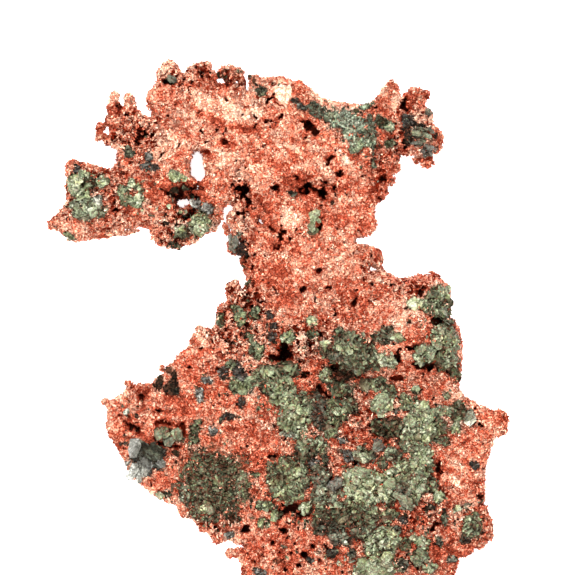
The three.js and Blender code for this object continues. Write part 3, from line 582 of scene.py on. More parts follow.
def sheet_faces(chosen, flip):
    """Triangles of a closed solid over the chosen squares of a grid: one square up and one down for
    each, and a wall along every line where a chosen square meets one that isn't. flip picks which
    diagonal splits each square. Points of the underside follow all those of the top."""
    rows, columns = chosen.shape[0] + 1, chosen.shape[1] + 1
    up = np.arange(rows * columns).reshape(rows, columns)

    a, b, c, d = up[:-1, :-1], up[:-1, 1:], up[1:, 1:], up[1:, :-1]
    low = [g + rows * columns for g in (a, b, c, d)]
    kept = np.pad(chosen, 1)
    south = chosen & ~kept[:-2, 1:-1]
    north = chosen & ~kept[2:, 1:-1]
    west = chosen & ~kept[1:-1, :-2]
    east = chosen & ~kept[1:-1, 2:]
    parts = []
    for where, corners in (
        (chosen & flip, (a, b, c, d)),
        (chosen & ~flip, (b, c, d, a)),
        (chosen & flip, (low[3], low[2], low[1], low[0])),
        (chosen & ~flip, (low[0], low[3], low[2], low[1])),
        (south, (low[0], low[1], b, a)),
        (north, (low[2], low[3], d, c)),
        (west, (low[3], low[0], a, d)),
        (east, (low[1], low[2], c, b)),
    ):
        p, q, r, s = (corner[where] for corner in corners)
        parts += [np.column_stack([p, q, r]), np.column_stack([p, r, s])]
    return np.concatenate(parts)


def without_corner_contacts(chosen):
    """Fills one square wherever two chosen squares meet only at a corner, so that the solid is sound."""
    for _ in range(4):
        a, b, c, d = chosen[:-1, :-1], chosen[:-1, 1:], chosen[1:, 1:], chosen[1:, :-1]
        fill = np.zeros_like(chosen)
        fill[:-1, 1:] |= a & c & ~b & ~d
        fill[:-1, :-1] |= b & d & ~a & ~c
        chosen = chosen | fill
    return chosen


def spindles(places, long, wide, sides, shoulder, bend, flat, thin, rng, axis=None):
    """Points and triangles of many small spindles. Each has two rings of corners and two tips on its own
    random axis: a ring's corner is axis times shoulder times long, plus side times wide cos a, plus up
    times thin times wide sin a, with the middle pushed aside by bend and every corner out or in at
    random. flat under 1 lays the axes down. Where axis gives them, side is level, so that one ridge of
    each spindle points up. places and sizes are in millimetres."""
    count = len(places)
    if axis is None:
        axis = rng.normal(size=(count, 3)) * (1, 1, flat)
        side = np.cross(axis, rng.normal(size=(count, 3)))
    else:
        side = np.cross(axis, (0, 0, 1))
    axis /= np.linalg.norm(axis, axis=1)[:, None]
    side /= np.linalg.norm(side, axis=1)[:, None]
    up = np.cross(axis, side)
    angle = np.arange(sides) * 2 * math.pi / sides
    corners = np.zeros((count, 2 * sides + 2, 3))
    for k, end in enumerate((-1, 1)):
        ring = slice(k * sides, (k + 1) * sides)
        spread_out = wide[:, None] * (1 + 0.3 * rng.uniform(-1, 1, (count, sides)))
        along = end * long[:, None] * (shoulder + 0.2 * rng.uniform(-1, 1, (count, sides)))
        corners[:, ring] = (
            axis[:, None] * along[..., None] + side[:, None] * (spread_out * np.cos(angle))[..., None]
            + up[:, None] * (thin * spread_out * np.sin(angle))[..., None])
        corners[:, 2 * sides + k] = axis * (end * long)[:, None]
        corners[:, ring] += side[:, None] * (bend * long)[:, None, None]
    corners += places[:, None]
    i = np.arange(sides)
    j = (i + 1) % sides
    faces = np.concatenate([
        np.column_stack([i, j, j + sides]), np.column_stack([i, j + sides, i + sides]),
        np.column_stack([i + sides, j + sides, np.full(sides, 2 * sides + 1)]),
        np.column_stack([j, i, np.full(sides, 2 * sides)])])
    first = (2 * sides + 2) * np.arange(count)
    return corners.reshape(-1, 3), (faces[None] + first[:, None, None]).reshape(-1, 3)


def joined(*parts):
    """Several (points, triangles, fields) parts as one."""
    points, triangles, fields, first = [], [], {}, 0
    for p, t, f in parts:
        points.append(p)
        triangles.append(t + first)
        first += len(p)
        for name, values in f.items():
            fields.setdefault(name, []).append(values)
    fields = {name: np.concatenate(values) for name, values in fields.items()}
    return np.concatenate(points), np.concatenate(triangles), fields


def piece(name, points, triangles, fields, material, slot, nodes=()):
    """A finished mesh object from points in millimetres, none below the floor, with its fields as
    point attributes. Every triangle catches the light on its own, as broken metal and crystals do."""
    used, triangles = np.unique(triangles, return_inverse=True)
    triangles = triangles.reshape(-1, 3)
    points = np.column_stack([points[:, :2], np.maximum(points[:, 2], LOWEST)])
    mesh = bpy.data.meshes.new(name)
    mesh.vertices.add(len(used))
    mesh.vertices.foreach_set("co", (points[used] * MM).ravel())
    mesh.loops.add(triangles.size)
    mesh.loops.foreach_set("vertex_index", triangles.ravel().astype(np.int32))
    mesh.polygons.add(len(triangles))
    mesh.polygons.foreach_set("loop_start", np.arange(0, triangles.size, 3, dtype=np.int32))
    mesh.update(calc_edges=True)
    mesh.shade_flat()
    for field, values in fields.items():
        attribute = mesh.attributes.new(field, "FLOAT", "POINT")
        attribute.data.foreach_set("value", values[used].astype(np.float32))
    mesh.materials.append(material)
    made = bpy.data.objects.new(name, mesh)
    bpy.context.scene.collection.objects.link(made)
    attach(made, "root")
    if nodes:
        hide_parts(*nodes)
    return made


# The shape of the nugget's two faces over the plan, worked out once from the CAD nodes.


def make_plan(sizes):
    """Grid of the plan with the heights of both faces, the signed distance to the rim and the paint. The
    paint is pale places less red ones, plus streaks that lie 20 degrees down to the right and drifts.
    A flake is where a torn ellipse is over 0, and its groove is a thin band just outside that."""
    step = sizes.step / MM
    low, high = CAD_BOX
    margin = 3
    xs = np.arange(low.x / MM - margin, high.x / MM + margin + step, step)
    ys = np.arange(low.y / MM - margin, high.y / MM + margin + step, step)
    x, y = np.meshgrid(xs, ys)
    top, inside = projected("copper", x, y, True)
    under, _ = projected("copper", x, y, False)
    for node in MINERALS:
        lump, over = projected(node, x, y, True)
        top = np.where(over & ~inside, lump, np.where(over, np.maximum(top, lump), top))
        inside = inside | over
    inward, outward = 14.0, 5.0
    signed = distance(inside, step, inward) - distance(~inside, step, outward)
    top = blurred(spread(top, inside, 12), 10)
    under = blurred(spread(under, inside, 12), 10)
    plan = {"x": x, "y": y, "step": step, "top": top, "under": under, "edge": signed}
    plan["sponge"] = painted(x, y, SPONGES, 1.2)
    plan["pale"] = painted(x, y, PALES, 0.6)
    torn = 0.24 * fractal(x, y, 3.2, 4, 93)
    inner = [inside_ellipse(x, y, f) + torn for f in FLAKES]
    plan["flake"] = np.maximum.reduce([f[6] * smooth(v / 0.14) for f, v in zip(FLAKES, inner)])
    strength = np.maximum.reduce([f[6] * (v > -0.4) for f, v in zip(FLAKES, inner)])
    groove = strength * smooth((0.14 - np.abs(np.maximum.reduce(inner) + 0.05)) / 0.12)
    plan["groove"] = groove * smooth(0.7 + 0.8 * noise(x, y, 3, 94))
    cosine, sine = 0.94, 0.34
    u, v = cosine * x - sine * y, sine * x + cosine * y
    streaks = fractal(0.35 * u, v, 2.6, 3, 35)
    drift = fractal(x, y, 11, 3, 36)
    # The red places are partly the copper's own redder colour and partly painted shade under raised parts.
    plan["tint"] = 0.75 * plan["pale"] - 0.4 * painted(x, y, REDS, 1.0) + 0.22 * streaks + 0.16 * drift
    plan["tint"] = plan["tint"] * (1 - plan["flake"]) + 0.38 * plan["flake"]
    mineral = [p for places in MINERALS.values() for p in places] + SPECKS
    plan["mineral"] = np.maximum.reduce([mineral_field(x, y, p) for p in mineral])
    return plan


def mineral_field(x, y, place):
    """How far inside one mineral's ragged ellipse a point lies: 0 on its edge, up to about 1."""
    size = min(place[2], place[3])
    lobes = min(0.3, 1.2 / size) * fractal(x, y, 7, 2, 47)
    ragged = min(0.5, 2.1 / size) * (0.75 * fractal(x, y, 3.4, 4, 41) + 0.1)
    return inside_ellipse(x, y, place) + lobes + ragged


def copper_relief(plan, sizes):
    """Height to add to the copper's smooth face, how deep in a hollow each point is, and a tint. Height is
    soft swells, lumps, and crumples with sharp valleys where a noise crosses zero. Spongy stretches have
    a net of sharp ridges where a noise crosses zero instead, with dark cups between. Ragged gaps where a
    third noise is low and the listed pits are taken away. The depth is greatest in the gaps, cups, valley
    lines, pits and flake grooves, and the material paints it dark as oxide and painted shade. The tint is
    painted light: it grows with the lumps and ridges as painted highlight, falls in the valleys and in the
    pits as painted shade, and falls in a halo round the pits."""
    x, y, sponge = plan["x"], plan["y"], plan["sponge"]
    tall = sizes.hackle / MM
    wx = x + 0.9 * noise(x, y, 2.6, 5)
    wy = y + 0.9 * noise(x, y, 2.6, 6)
    swell = 0.8 * fractal(x, y, 14, 3, 1)
    lumps = (0.7 + 1.0 * sponge) * fractal(wx, wy, 4.2, 2, 2)
    valley = np.abs(fractal(wx, wy, 1.9, 3, 3))
    crumple = tall * (0.7 + 0.2 * sponge) * (1.5 * np.minimum(valley, 0.8) - 0.5)
    ridge = 1 - np.minimum(np.abs(fractal(wx, wy, 1.7, 2, 4)) / 0.5, 1)
    net = sponge * (1.5 * ridge - 0.6)
    gap_noise = fractal(wx, wy, 2.6, 3, 30)
    gap = smooth((-(0.98 - 0.42 * sponge) - gap_noise) / 0.2)
    pit = np.zeros_like(x)
    halo = np.zeros_like(x)
    rough = 0.65 * fractal(x, y, 2.4, 4, 61) + 0.4 * noise(x, y, 1.1, 62) + 0.1
    for place in PITS:
        inside = inside_ellipse(x, y, place) + rough
        pit = np.maximum(pit, 1.2 * place[5] * smooth(inside / 0.7))
        halo = np.maximum(halo, smooth((inside + 0.9) / 1.1))
    bare = 1 - plan["flake"]
    flat = (1 - 0.6 * np.clip(plan["pale"], 0, 1)) * (1 - 0.85 * plan["flake"])
    lifts = np.maximum.reduce([f[5] * (inside_ellipse(x, y, f) > -0.3) for f in FLAKES])
    height = swell + flat * (lumps + crumple + net) - 2.4 * gap * bare - pit
    height = height + lifts * (1.2 * plan["flake"] - 0.9 * plan["groove"])
    # The depth, painted dark by the material as oxide and painted shade, lies along the valley lines, in the
    # cups, gaps and pits, and in the flake grooves.
    line = smooth((0.18 - valley) / 0.18) * (0.3 + 0.1 * sponge)
    cup = 0.85 * sponge * smooth((0.32 - ridge) / 0.3)
    depth = np.maximum(np.maximum(gap, cup), line) * bare
    depth = np.clip(np.maximum(np.maximum(depth, pit / 2.4), 0.75 * plan["groove"]), 0, 1)
    # Painted light: paler on the lumps and ridges and darker along the valleys, then darker in a halo round
    # the pits and, as painted shade, inside them.
    lit = flat * (0.16 * fractal(wx, wy, 4.2, 2, 2) + 0.22 * (np.minimum(valley, 0.8) - 0.35))
    lit = lit + sponge * (0.5 * ridge - 0.08) * bare
    return height, depth, lit - 0.3 * halo * bare - 0.3 * smooth(pit / 1.5)


# Materials.


class Nodes:
    """Short ways to add shader nodes to one material."""

    def __init__(self, name):
        self.material = bpy.data.materials.new(name)
        self.material.use_nodes = True
        self.tree = self.material.node_tree
        self.shader = self.tree.nodes["Principled BSDF"]
        self.place = self.tree.nodes.new("ShaderNodeTexCoord").outputs["Object"]

    def link(self, a, b):
        """Leads output a into input b."""
        self.tree.links.new(a, b)

    def field(self, name):
        """One of the piece's own point fields."""
        node = self.tree.nodes.new("ShaderNodeAttribute")
        node.attribute_name = name
        return node.outputs["Fac"]

    def noise(self, size, detail=3.0, rough=0.6):
        """Cloudy noise of about 0 to 1, its clouds size metres wide."""
        node = self.tree.nodes.new("ShaderNodeTexNoise")
        node.inputs["Scale"].default_value = 1 / size
        node.inputs["Detail"].default_value = detail
        node.inputs["Roughness"].default_value = rough
        self.link(self.place, node.inputs["Vector"])
        return node.outputs["Fac"]

    def warp(self, size, far):
        """Moves the place that later textures are read at by a noise."""
        noise = self.tree.nodes.new("ShaderNodeTexNoise")
        noise.inputs["Scale"].default_value = 1 / size
        self.link(self.place, noise.inputs["Vector"])
        shift = self.tree.nodes.new("ShaderNodeVectorMath")
        shift.operation = "MULTIPLY_ADD"
        shift.inputs[1].default_value = (far, far, far)
        self.link(noise.outputs["Color"], shift.inputs[0])
        self.link(self.place, shift.inputs[2])
        self.place = shift.outputs["Vector"]

    def cells(self, size):
        """Random cells: a number for each cell."""
        node = self.tree.nodes.new("ShaderNodeTexVoronoi")
        node.inputs["Scale"].default_value = 1 / size
        self.link(self.place, node.inputs["Vector"])
        return node.outputs["Color"]

    def seams(self, size):
        """Distance to the nearest border of the same cells, in cell sizes."""
        node = self.tree.nodes.new("ShaderNodeTexVoronoi")
        node.feature = "DISTANCE_TO_EDGE"
        node.inputs["Scale"].default_value = 1 / size
        self.link(self.place, node.inputs["Vector"])
        return node.outputs["Distance"]

    def span(self, value, low, high, to_low=0.0, to_high=1.0):
        """The value moved in proportion from low..high to to_low..to_high, and held inside it."""
        node = self.tree.nodes.new("ShaderNodeMapRange")
        for name, number in (("From Min", low), ("From Max", high), ("To Min", to_low), ("To Max", to_high)):
            node.inputs[name].default_value = number
        self.link(value, node.inputs["Value"])
        return node.outputs["Result"]

    def maths(self, operation, a, b):
        """One operation on two values, each a number or an output."""
        node = self.tree.nodes.new("ShaderNodeMath")
        node.operation = operation
        for socket, value in zip(node.inputs, (a, b)):
            if isinstance(value, (int, float)):
                socket.default_value = value
            else:
                self.link(value, socket)
        return node.outputs["Value"]

    def mix(self, share, a, b, way="MIX"):
        """Colour a with a share of colour b laid over it."""
        node = self.tree.nodes.new("ShaderNodeMix")
        node.data_type = "RGBA"
        node.blend_type = way
        for socket, value in ((node.inputs[0], share), (node.inputs[6], a), (node.inputs[7], b)):
            if hasattr(value, "links"):
                self.link(value, socket)
            else:
                socket.default_value = value
        return node.outputs[2]

    def ramp(self, value, *stops):
        """A colour that runs in straight steps from stop to stop as the value grows."""
        node = self.tree.nodes.new("ShaderNodeValToRGB")
        points = node.color_ramp.elements
        while len(points) < len(stops):
            points.new(0.5)
        for point, (at, colour) in zip(points, stops):
            point.position = at
            point.color = colour
        self.link(value, node.inputs["Fac"])
        return node.outputs["Color"]

    def bump(self, height, strength, far):
        """Tilts the light by a height, far metres for each 1 of it."""
        node = self.tree.nodes.new("ShaderNodeBump")
        node.inputs["Strength"].default_value = strength
        node.inputs["Distance"].default_value = far
        self.link(height, node.inputs["Height"])
        self.link(node.outputs["Normal"], self.shader.inputs["Normal"])


def shaded(colour, factor):
    """A colour made darker or lighter by a factor."""
    return (*[min(1.0, c * factor) for c in colour[:3]], 1.0)


def copper_material(name, colours):
    """Rough bare copper made of crumbs. A crumb's tint is its own random number plus the piece's tint field,
    with its painted light, from red through copper to cream. Dark seams of tarnish and painted shade run
    between the crumbs and along the hollows, painted shade dots the spongy stretches as pinholes, oxide and
    painted shade line the pits, and painted shade lies in a dark ring round the minerals."""
    n = Nodes(name)
    crumb_size = 0.0014
    fine = n.noise(0.00045, 3)
    n.warp(0.0015, 0.0016)
    sponge = n.field("sponge")
    tint = n.maths("ADD", n.field("tint"), n.span(n.cells(crumb_size), 0.2, 0.8, 0.2, 0.76))
    tint = n.maths("ADD", tint, n.span(n.noise(0.0007, 3, 0.7), 0.3, 0.7, -0.3, 0.3))
    base = n.ramp(
        tint, (0.0, shaded(colours.red, 0.5)), (0.2, tuple(colours.red)), (0.44, tuple(colours.copper)),
        (0.72, (0.95, 0.52, 0.35, 1)), (0.98, tuple(colours.pale)))
    # Tarnish and painted shade: dark seams between the crumbs, and in the hollows from the depth field.
    seam = n.span(n.seams(crumb_size), 0.02, 0.15, 1.0, 0.0)
    seam = n.maths("MULTIPLY", seam, n.span(n.noise(0.0022, 3), 0.34, 0.52, 0.15, 1.0))
    seam = n.maths("MULTIPLY", seam, n.span(n.field("tint"), 0.25, 0.5, 1.0, 0.45))
    seam = n.maths("MAXIMUM", seam, n.span(n.field("depth"), 0.05, 0.5))
    base = n.mix(seam, base, tuple(colours.seam))
    # Painted shade: dark pinholes dotted over the spongy stretches.
    pinhole_shade = n.span(n.noise(0.0015, 3), 0.42, 0.37)
    pinhole_shade = n.maths("MULTIPLY", pinhole_shade, n.span(sponge, 0, 1, 0.1, 0.95))
    # Oxide and painted shade in the deepest hollows.
    dark = n.maths("MAXIMUM", n.span(n.field("depth"), 0.45, 0.9), pinhole_shade)
    base = n.mix(dark, base, tuple(colours.pit))
    # Painted shade: a dark ring round each mineral, where it meets the copper.
    shade_round_minerals = n.maths("MULTIPLY", n.field("shade_round_minerals"), n.span(n.noise(0.0012, 3), 0.3, 0.55))
    base = n.mix(shade_round_minerals, base, (0.04, 0.014, 0.007, 1))
    n.link(base, n.shader.inputs["Base Color"])
    dull = n.maths("MAXIMUM", n.maths("MAXIMUM", shade_round_minerals, seam), dark)
    n.link(n.span(dull, 0, 1, 0.85, 0.4), n.shader.inputs["Metallic"])
    n.link(n.span(dull, 0, 0.6, 0.5, 0.0), n.shader.inputs["Specular IOR Level"])
    n.link(n.span(fine, 0.3, 0.7, 0.28, 0.5), n.shader.inputs["Roughness"])
    crumb = n.maths("MULTIPLY", n.span(n.seams(crumb_size), 0, 0.35), 1.5)
    n.bump(n.maths("ADD", crumb, fine), 0.9, 0.00035)
    return n.material


def mineral_material(name, colours, warm, gloss, green=None):
    """Waxy crystals whose tone, with the painted shade in it, and greyness come from the piece's own fields.
    Cells vary the tone, olive clouds the greens, painted shade darkens the cracks between the grains, and
    rust lies in patches."""
    n = Nodes(name)
    grain = 0.0016
    fine = n.noise(0.0005, 3)
    n.warp(0.002, 0.0018)
    tone = n.maths("ADD", n.field("tone"), n.span(n.cells(0.0024), 0.2, 0.8, -0.1, 0.12))
    tone = n.maths("ADD", tone, n.span(n.noise(0.0008, 4, 0.7), 0.3, 0.7, -0.16, 0.16))
    green, cream = green or colours.green, colours.cream
    greens = n.ramp(
        tone, (0.0, (0.007, 0.006, 0.004, 1)), (0.22, shaded(green, 0.28)), (0.5, tuple(green)),
        (0.75, shaded(green, 2.0)), (1.0, tuple(cream)))
    greys = n.ramp(
        tone, (0.0, (0.008, 0.008, 0.009, 1)), (0.25, shaded(colours.grey, 0.4)), (0.5, tuple(colours.grey)),
        (0.75, shaded(colours.grey, 1.9)), (1.0, (0.62, 0.62, 0.57, 1)))
    olive = n.span(n.noise(0.0036, 3), 0.46, 0.64, 0.0, 0.7)
    greens = n.mix(olive, greens, (1.14, 1.04, 0.7, 1), "MULTIPLY")
    base = n.mix(n.maths("MULTIPLY", n.field("grey"), 0.85), greens, greys)
    rust = n.maths("MULTIPLY", n.span(n.noise(0.0011, 4), 0.48, 0.6), warm)
    rust = n.maths("MAXIMUM", rust, n.field("rust"))
    base = n.mix(rust, base, tuple(colours.rust))
    # Painted shade in the cracks between the grains.
    crack_shade = n.span(n.seams(grain), 0.0, 0.13, 0.9, 0.0)
    crack_shade = n.maths("MULTIPLY", crack_shade, n.span(n.noise(0.003, 3), 0.36, 0.56, 0.4, 1.0))
    base = n.mix(crack_shade, base, (0.014, 0.011, 0.006, 1))
    n.link(base, n.shader.inputs["Base Color"])
    n.link(n.span(fine, 0.3, 0.7, gloss, gloss + 0.25), n.shader.inputs["Roughness"])
    n.link(n.span(tone, 0.1, 0.6, 0.0, 0.4), n.shader.inputs["Specular IOR Level"])
    n.bump(n.maths("ADD", n.span(n.seams(grain), 0, 0.3), fine), 0.5, 0.0003)
    return n.material


# Pieces.


def state():
    """The scene's sizes and colours."""
    return bpy.context.scene.nugget_sizes, bpy.context.scene.nugget_colours


PLAN = {}


def plan():
    """The plan, worked out at its first use: the face, the back and the minerals' own crusts."""
    if PLAN:
        return PLAN
    sizes, _ = state()
    p = make_plan(sizes)
    x, y = p["x"], p["y"]
    height, depth, lit = copper_relief(p, sizes)
    # The tint takes the painted light of the relief.
    p["tint"] = p["tint"] + lit
    rough = (0.6 + 0.7 * p["sponge"]) * (0.8 * noise(x, y, 3.2, 71) + 0.8 * noise(x, y, 1.5, 72))
    ragged = p["edge"] + rough - 0.3
    for place in EDGES:
        inside = inside_ellipse(x, y, place) * min(place[2], place[3])
        ragged = np.maximum(ragged, inside) if place[5] > 0 else np.minimum(ragged, -inside)
    share = np.sqrt(1 - (1 - np.clip(ragged / (sizes.rim / MM), 0, 1)) ** 2)
    middle = 0.5 * (p["top"] + p["under"])
    stone = smooth(p["mineral"] / 0.25)
    face = middle + (p["top"] - middle) * (0.2 + 0.8 * share) + height * (0.4 + 0.6 * share) - 0.7 * stone
    bosses = 0.6 * fractal(x, y, 5, 4, 81)
    back_valley = np.abs(fractal(x, y, 1.9, 3, 82))
    back_relief = bosses + 0.8 * (0.5 - np.minimum(back_valley, 0.8))
    back = middle + (p["under"] - middle) * (0.2 + 0.8 * share) + back_relief * share
    p["face"] = face
    p["back"] = np.minimum(np.maximum(back, 0.35), face - 0.6)
    # The back's valley lines, which the material paints dark as oxide and painted shade.
    p["back_depth"] = 0.6 * smooth((0.2 - back_valley) / 0.2)
    p["ragged"] = ragged
    p["depth"] = depth
    first, second, p["cell"] = cells(x + 0.7 * noise(x, y, 1.7, 7), y + 0.7 * noise(x, y, 1.7, 8), 2.3, 50)
    folds = np.abs(fractal(x, y, 1.6, 3, 57))
    p["dome"] = 0.9 * (0.6 - first) + 1.1 * (p["cell"] - 0.5) + 1.1 * (folds - 0.3)
    p["crevice"] = np.maximum(smooth((0.16 - (second - first)) / 0.16), smooth((0.12 - folds) / 0.12))
    p["flip"] = noise(x, y, 0.5, 103)[:-1, :-1] > 0
    p["skin"] = p["face"].copy()
    PLAN.update(p)
    return PLAN


def copper_sheet():
    """The whole copper sheet: both faces as heights over the plan, joined by a ragged wall, with every
    point moved sideways a little by noise so that the crumples lean and overhang. Only the squares that
    can be reached from the core, a step at a time, are kept, so no crumb hangs loose."""
    core, steps = 2.5, 60
    sizes, colours = state()
    p = plan()
    x, y = p["x"], p["y"]
    chosen = (p["ragged"][:-1, :-1] > 0) & (p["ragged"][1:, 1:] > 0)
    joined_up = p["edge"][:-1, :-1] > core
    for _ in range(steps):
        for axis in (0, 1):
            for shift in (-1, 1):
                joined_up = joined_up | (np.roll(joined_up, shift, axis) & chosen)
    chosen = without_corner_contacts(joined_up & chosen)
    lean = 0.25 + 0.3 * p["sponge"]
    sideways = [lean * noise(x, y, 1.1, 101), lean * noise(x, y, 1.1, 102)]
    upper = np.stack([x + sideways[0], y + sideways[1], p["face"]], -1).reshape(-1, 3)
    lower = np.stack([x + 0.5 * sideways[0], y + 0.5 * sideways[1], p["back"]], -1).reshape(-1, 3)
    triangles = sheet_faces(chosen, p["flip"])
    # Painted shade: a dark ring round each mineral, where it meets the copper.
    shade_round_minerals = smooth(p["mineral"] / 0.4 + 0.6)
    quiet = np.zeros(x.size)
    fields = {
        "depth": np.concatenate([p["depth"].ravel(), p["back_depth"].ravel()]),
        "tint": np.concatenate([p["tint"].ravel(), p["tint"].ravel() - 0.15]),
        "sponge": np.concatenate([p["sponge"].ravel(), 0.4 + quiet]),
        "shade_round_minerals": np.concatenate([shade_round_minerals.ravel(), quiet]),
    }
    made = piece("copper_sheet", np.concatenate([upper, lower]), triangles, fields,
                 copper_material("crumpled copper", colours), "copper", ["copper"])
    made.data.polygons.foreach_set("use_smooth", (triangles >= x.size).all(1))
    group = made.vertex_groups.new(name="underside")
    used = np.unique(triangles)
    group.add(np.flatnonzero(used >= x.size).tolist(), 1.0, "REPLACE")
    thin = made.modifiers.new("Thin the underside", "DECIMATE")
    thin.ratio = min(1.0, sizes.faces / len(triangles))
    thin.vertex_group = "underside"
    thin.use_collapse_triangulate = True
    return made


def copper_hooks(name, share, seed, rim=False):
    """One layer of small bent hooks of copper that stand on the face, thickest on spongy stretches. share
    is their size against the usual. With rim, they stand out of the edges instead, at any height."""
    sides = 3
    each = 2 * sides + 2
    sizes, colours = state()
    p = plan()
    rng = np.random.default_rng(seed)
    low, high = CAD_BOX
    tries = sizes.hooks * (40 if rim else 6)
    x = rng.uniform(low.x / MM, high.x / MM, tries)
    y = rng.uniform(low.y / MM, high.y / MM, tries)
    edge, stone = sampled(p["ragged"], p, x, y), sampled(p["mineral"], p, x, y)
    hollow, pale = sampled(p["depth"], p, x, y), sampled(p["pale"], p, x, y)
    sponge = sampled(p["sponge"], p, x, y)
    wanted = 0.55 + 0.5 * sponge + 0.5 * (edge < 1.2) - 0.6 * pale - 0.9 * hollow
    wanted -= sampled(np.maximum(p["flake"], p["groove"]), p, x, y)
    chance_here = np.where(stone < 0.03, wanted, np.where(stone < 0.3, 0.2, 0.04))
    if rim:
        kept = (edge > 0.15) & (edge < 0.9)
    else:
        kept = (edge > 0.15) & (rng.random(tries) < chance_here)
    x, y, hollow, sponge, pale = (values[kept][: sizes.hooks] for values in (x, y, hollow, sponge, pale))
    if len(x) < sizes.hooks // 3:
        raise ValueError(f"{name} found room for only {len(x)} hooks")
    long = share * sizes.hook / MM * rng.uniform(0.5, 1.5, x.size)
    wide = 0.28 * long * rng.uniform(0.7, 1.4, x.size)
    z = sampled(p["skin"], p, x, y) + 0.1 + 0.25 * rng.random(x.size) * (0.5 + sponge)
    if rim:
        floor = sampled(p["back"], p, x, y)
        z = floor + 0.6 + (z - 0.2 - floor - 0.6) * rng.random(x.size)
    bend = rng.uniform(0, 0.5, x.size)
    places = np.column_stack([x, y, np.maximum(z, 1.7 * long)])
    points, triangles = spindles(places, long, wide, sides, 0.4, bend, 0.3 + 0.5 * share, 1.0, rng)
    # A random tint for each hook; the palest, at 0.45, are painted glints.
    own = rng.choice([-0.5, -0.15, 0.1, 0.45], x.size, p=[0.16, 0.24, 0.32, 0.28]) * (0.6 + 0.4 * sponge)
    fields = {
        # Darker where a hook stands in a hollow, as painted shade, and at random.
        "depth": np.repeat(np.clip(0.5 * hollow + rng.uniform(-0.9, 0.35, x.size), 0, 1), each),
        "tint": np.repeat(sampled(p["tint"], p, x, y) + own, each),
        "sponge": np.repeat(0.5 * sponge, each),
        "shade_round_minerals": np.zeros(len(points)),
    }
    return piece(name, points, triangles, fields, copper_material("copper hooks", colours), "copper")


def scatter(p, field, density, rng):
    """Random points of the plan, density of them for each square millimetre where the field is over 0."""
    low, high = CAD_BOX
    wide, tall = (high.x - low.x) / MM, (high.y - low.y) / MM
    x = low.x / MM + wide * rng.random(int(density * wide * tall))
    y = low.y / MM + tall * rng.random(x.size)
    inward = sampled(field, p, x, y)
    return x[inward > 0], y[inward > 0], inward[inward > 0]


def crystals_on(p, x, y, tone, grey, size, rng):
    """Crystals that stand at random on the skin of the nugget: mostly blocks, with some blades and some
    broad plates. Neighbours share a tone and each is a little darker or lighter at random. Painted shade
    darkens each in the crevices and towards its foot, and a painted highlight lightens it towards its tip."""
    each = 2 * CRYSTAL_SIDES + 2
    kind = rng.choice(3, x.size, p=[0.55, 0.17, 0.28])
    long = size * np.array([0.7, 1.05, 1.3])[kind] * rng.uniform(0.7, 1.3, x.size)
    wide = long * np.array([0.75, 0.4, 0.75])[kind] * rng.uniform(0.75, 1.25, x.size)
    thin = np.array([0.85, 0.6, 0.3])[kind]
    z = sampled(p["skin"], p, x, y) + 0.1 * long
    places, straight = np.column_stack([x, y, z]), np.zeros(x.size)
    points, triangles = spindles(places, long, wide, CRYSTAL_SIDES, 0.6, straight, 0.8, thin[:, None], rng)
    shared = 0.24 * (sampled(p["cell"], p, x, y) - 0.5)
    own = tone + 0.02 + (shared + rng.normal(0, 0.16, x.size)) * (0.3 + 0.7 * np.clip(2 * tone, 0, 1))
    # Painted shade in the crevices between domes and folds.
    own -= 0.44 * sampled(p["crevice"], p, x, y)
    # Painted shade towards each crystal's foot and painted highlight towards its tip.
    rise = np.clip((points[:, 2] - np.repeat(z, each)) / np.repeat(long, each), -0.7, 0.7)
    shade = np.repeat(own, each) + 0.42 * rise - 0.13 + rng.uniform(-0.1, 0.1, len(points))
    rust = np.repeat(0.5 * (rng.random(x.size) < 0.04), each)
    return points, triangles, {"tone": shade, "grey": np.repeat(grey, each), "rust": rust}


def prisms_on(p, prisms, rng):
    """Large four-sided prisms with blunt points that lie on the skin, each along its own turn."""
    each = 2 * CRYSTAL_SIDES + 2
    x, y, long, wide, turn, tone, grey = (np.array(column, float) for column in zip(*prisms))
    turn = np.radians(turn)
    axis = np.column_stack([np.cos(turn), np.sin(turn), rng.uniform(0.05, 0.35, x.size)])
    z = sampled(p["skin"], p, x, y) + 0.6 * wide
    places, straight = np.column_stack([x, y, z]), np.zeros(x.size)
    points, triangles = spindles(places, long, wide, CRYSTAL_SIDES, 0.66, straight, 1.0, 1.0, rng, axis)
    shade = np.repeat(tone, each) + rng.uniform(-0.1, 0.1, len(points))
    return points, triangles, {"tone": shade, "grey": np.repeat(grey, each), "rust": np.zeros(len(points))}


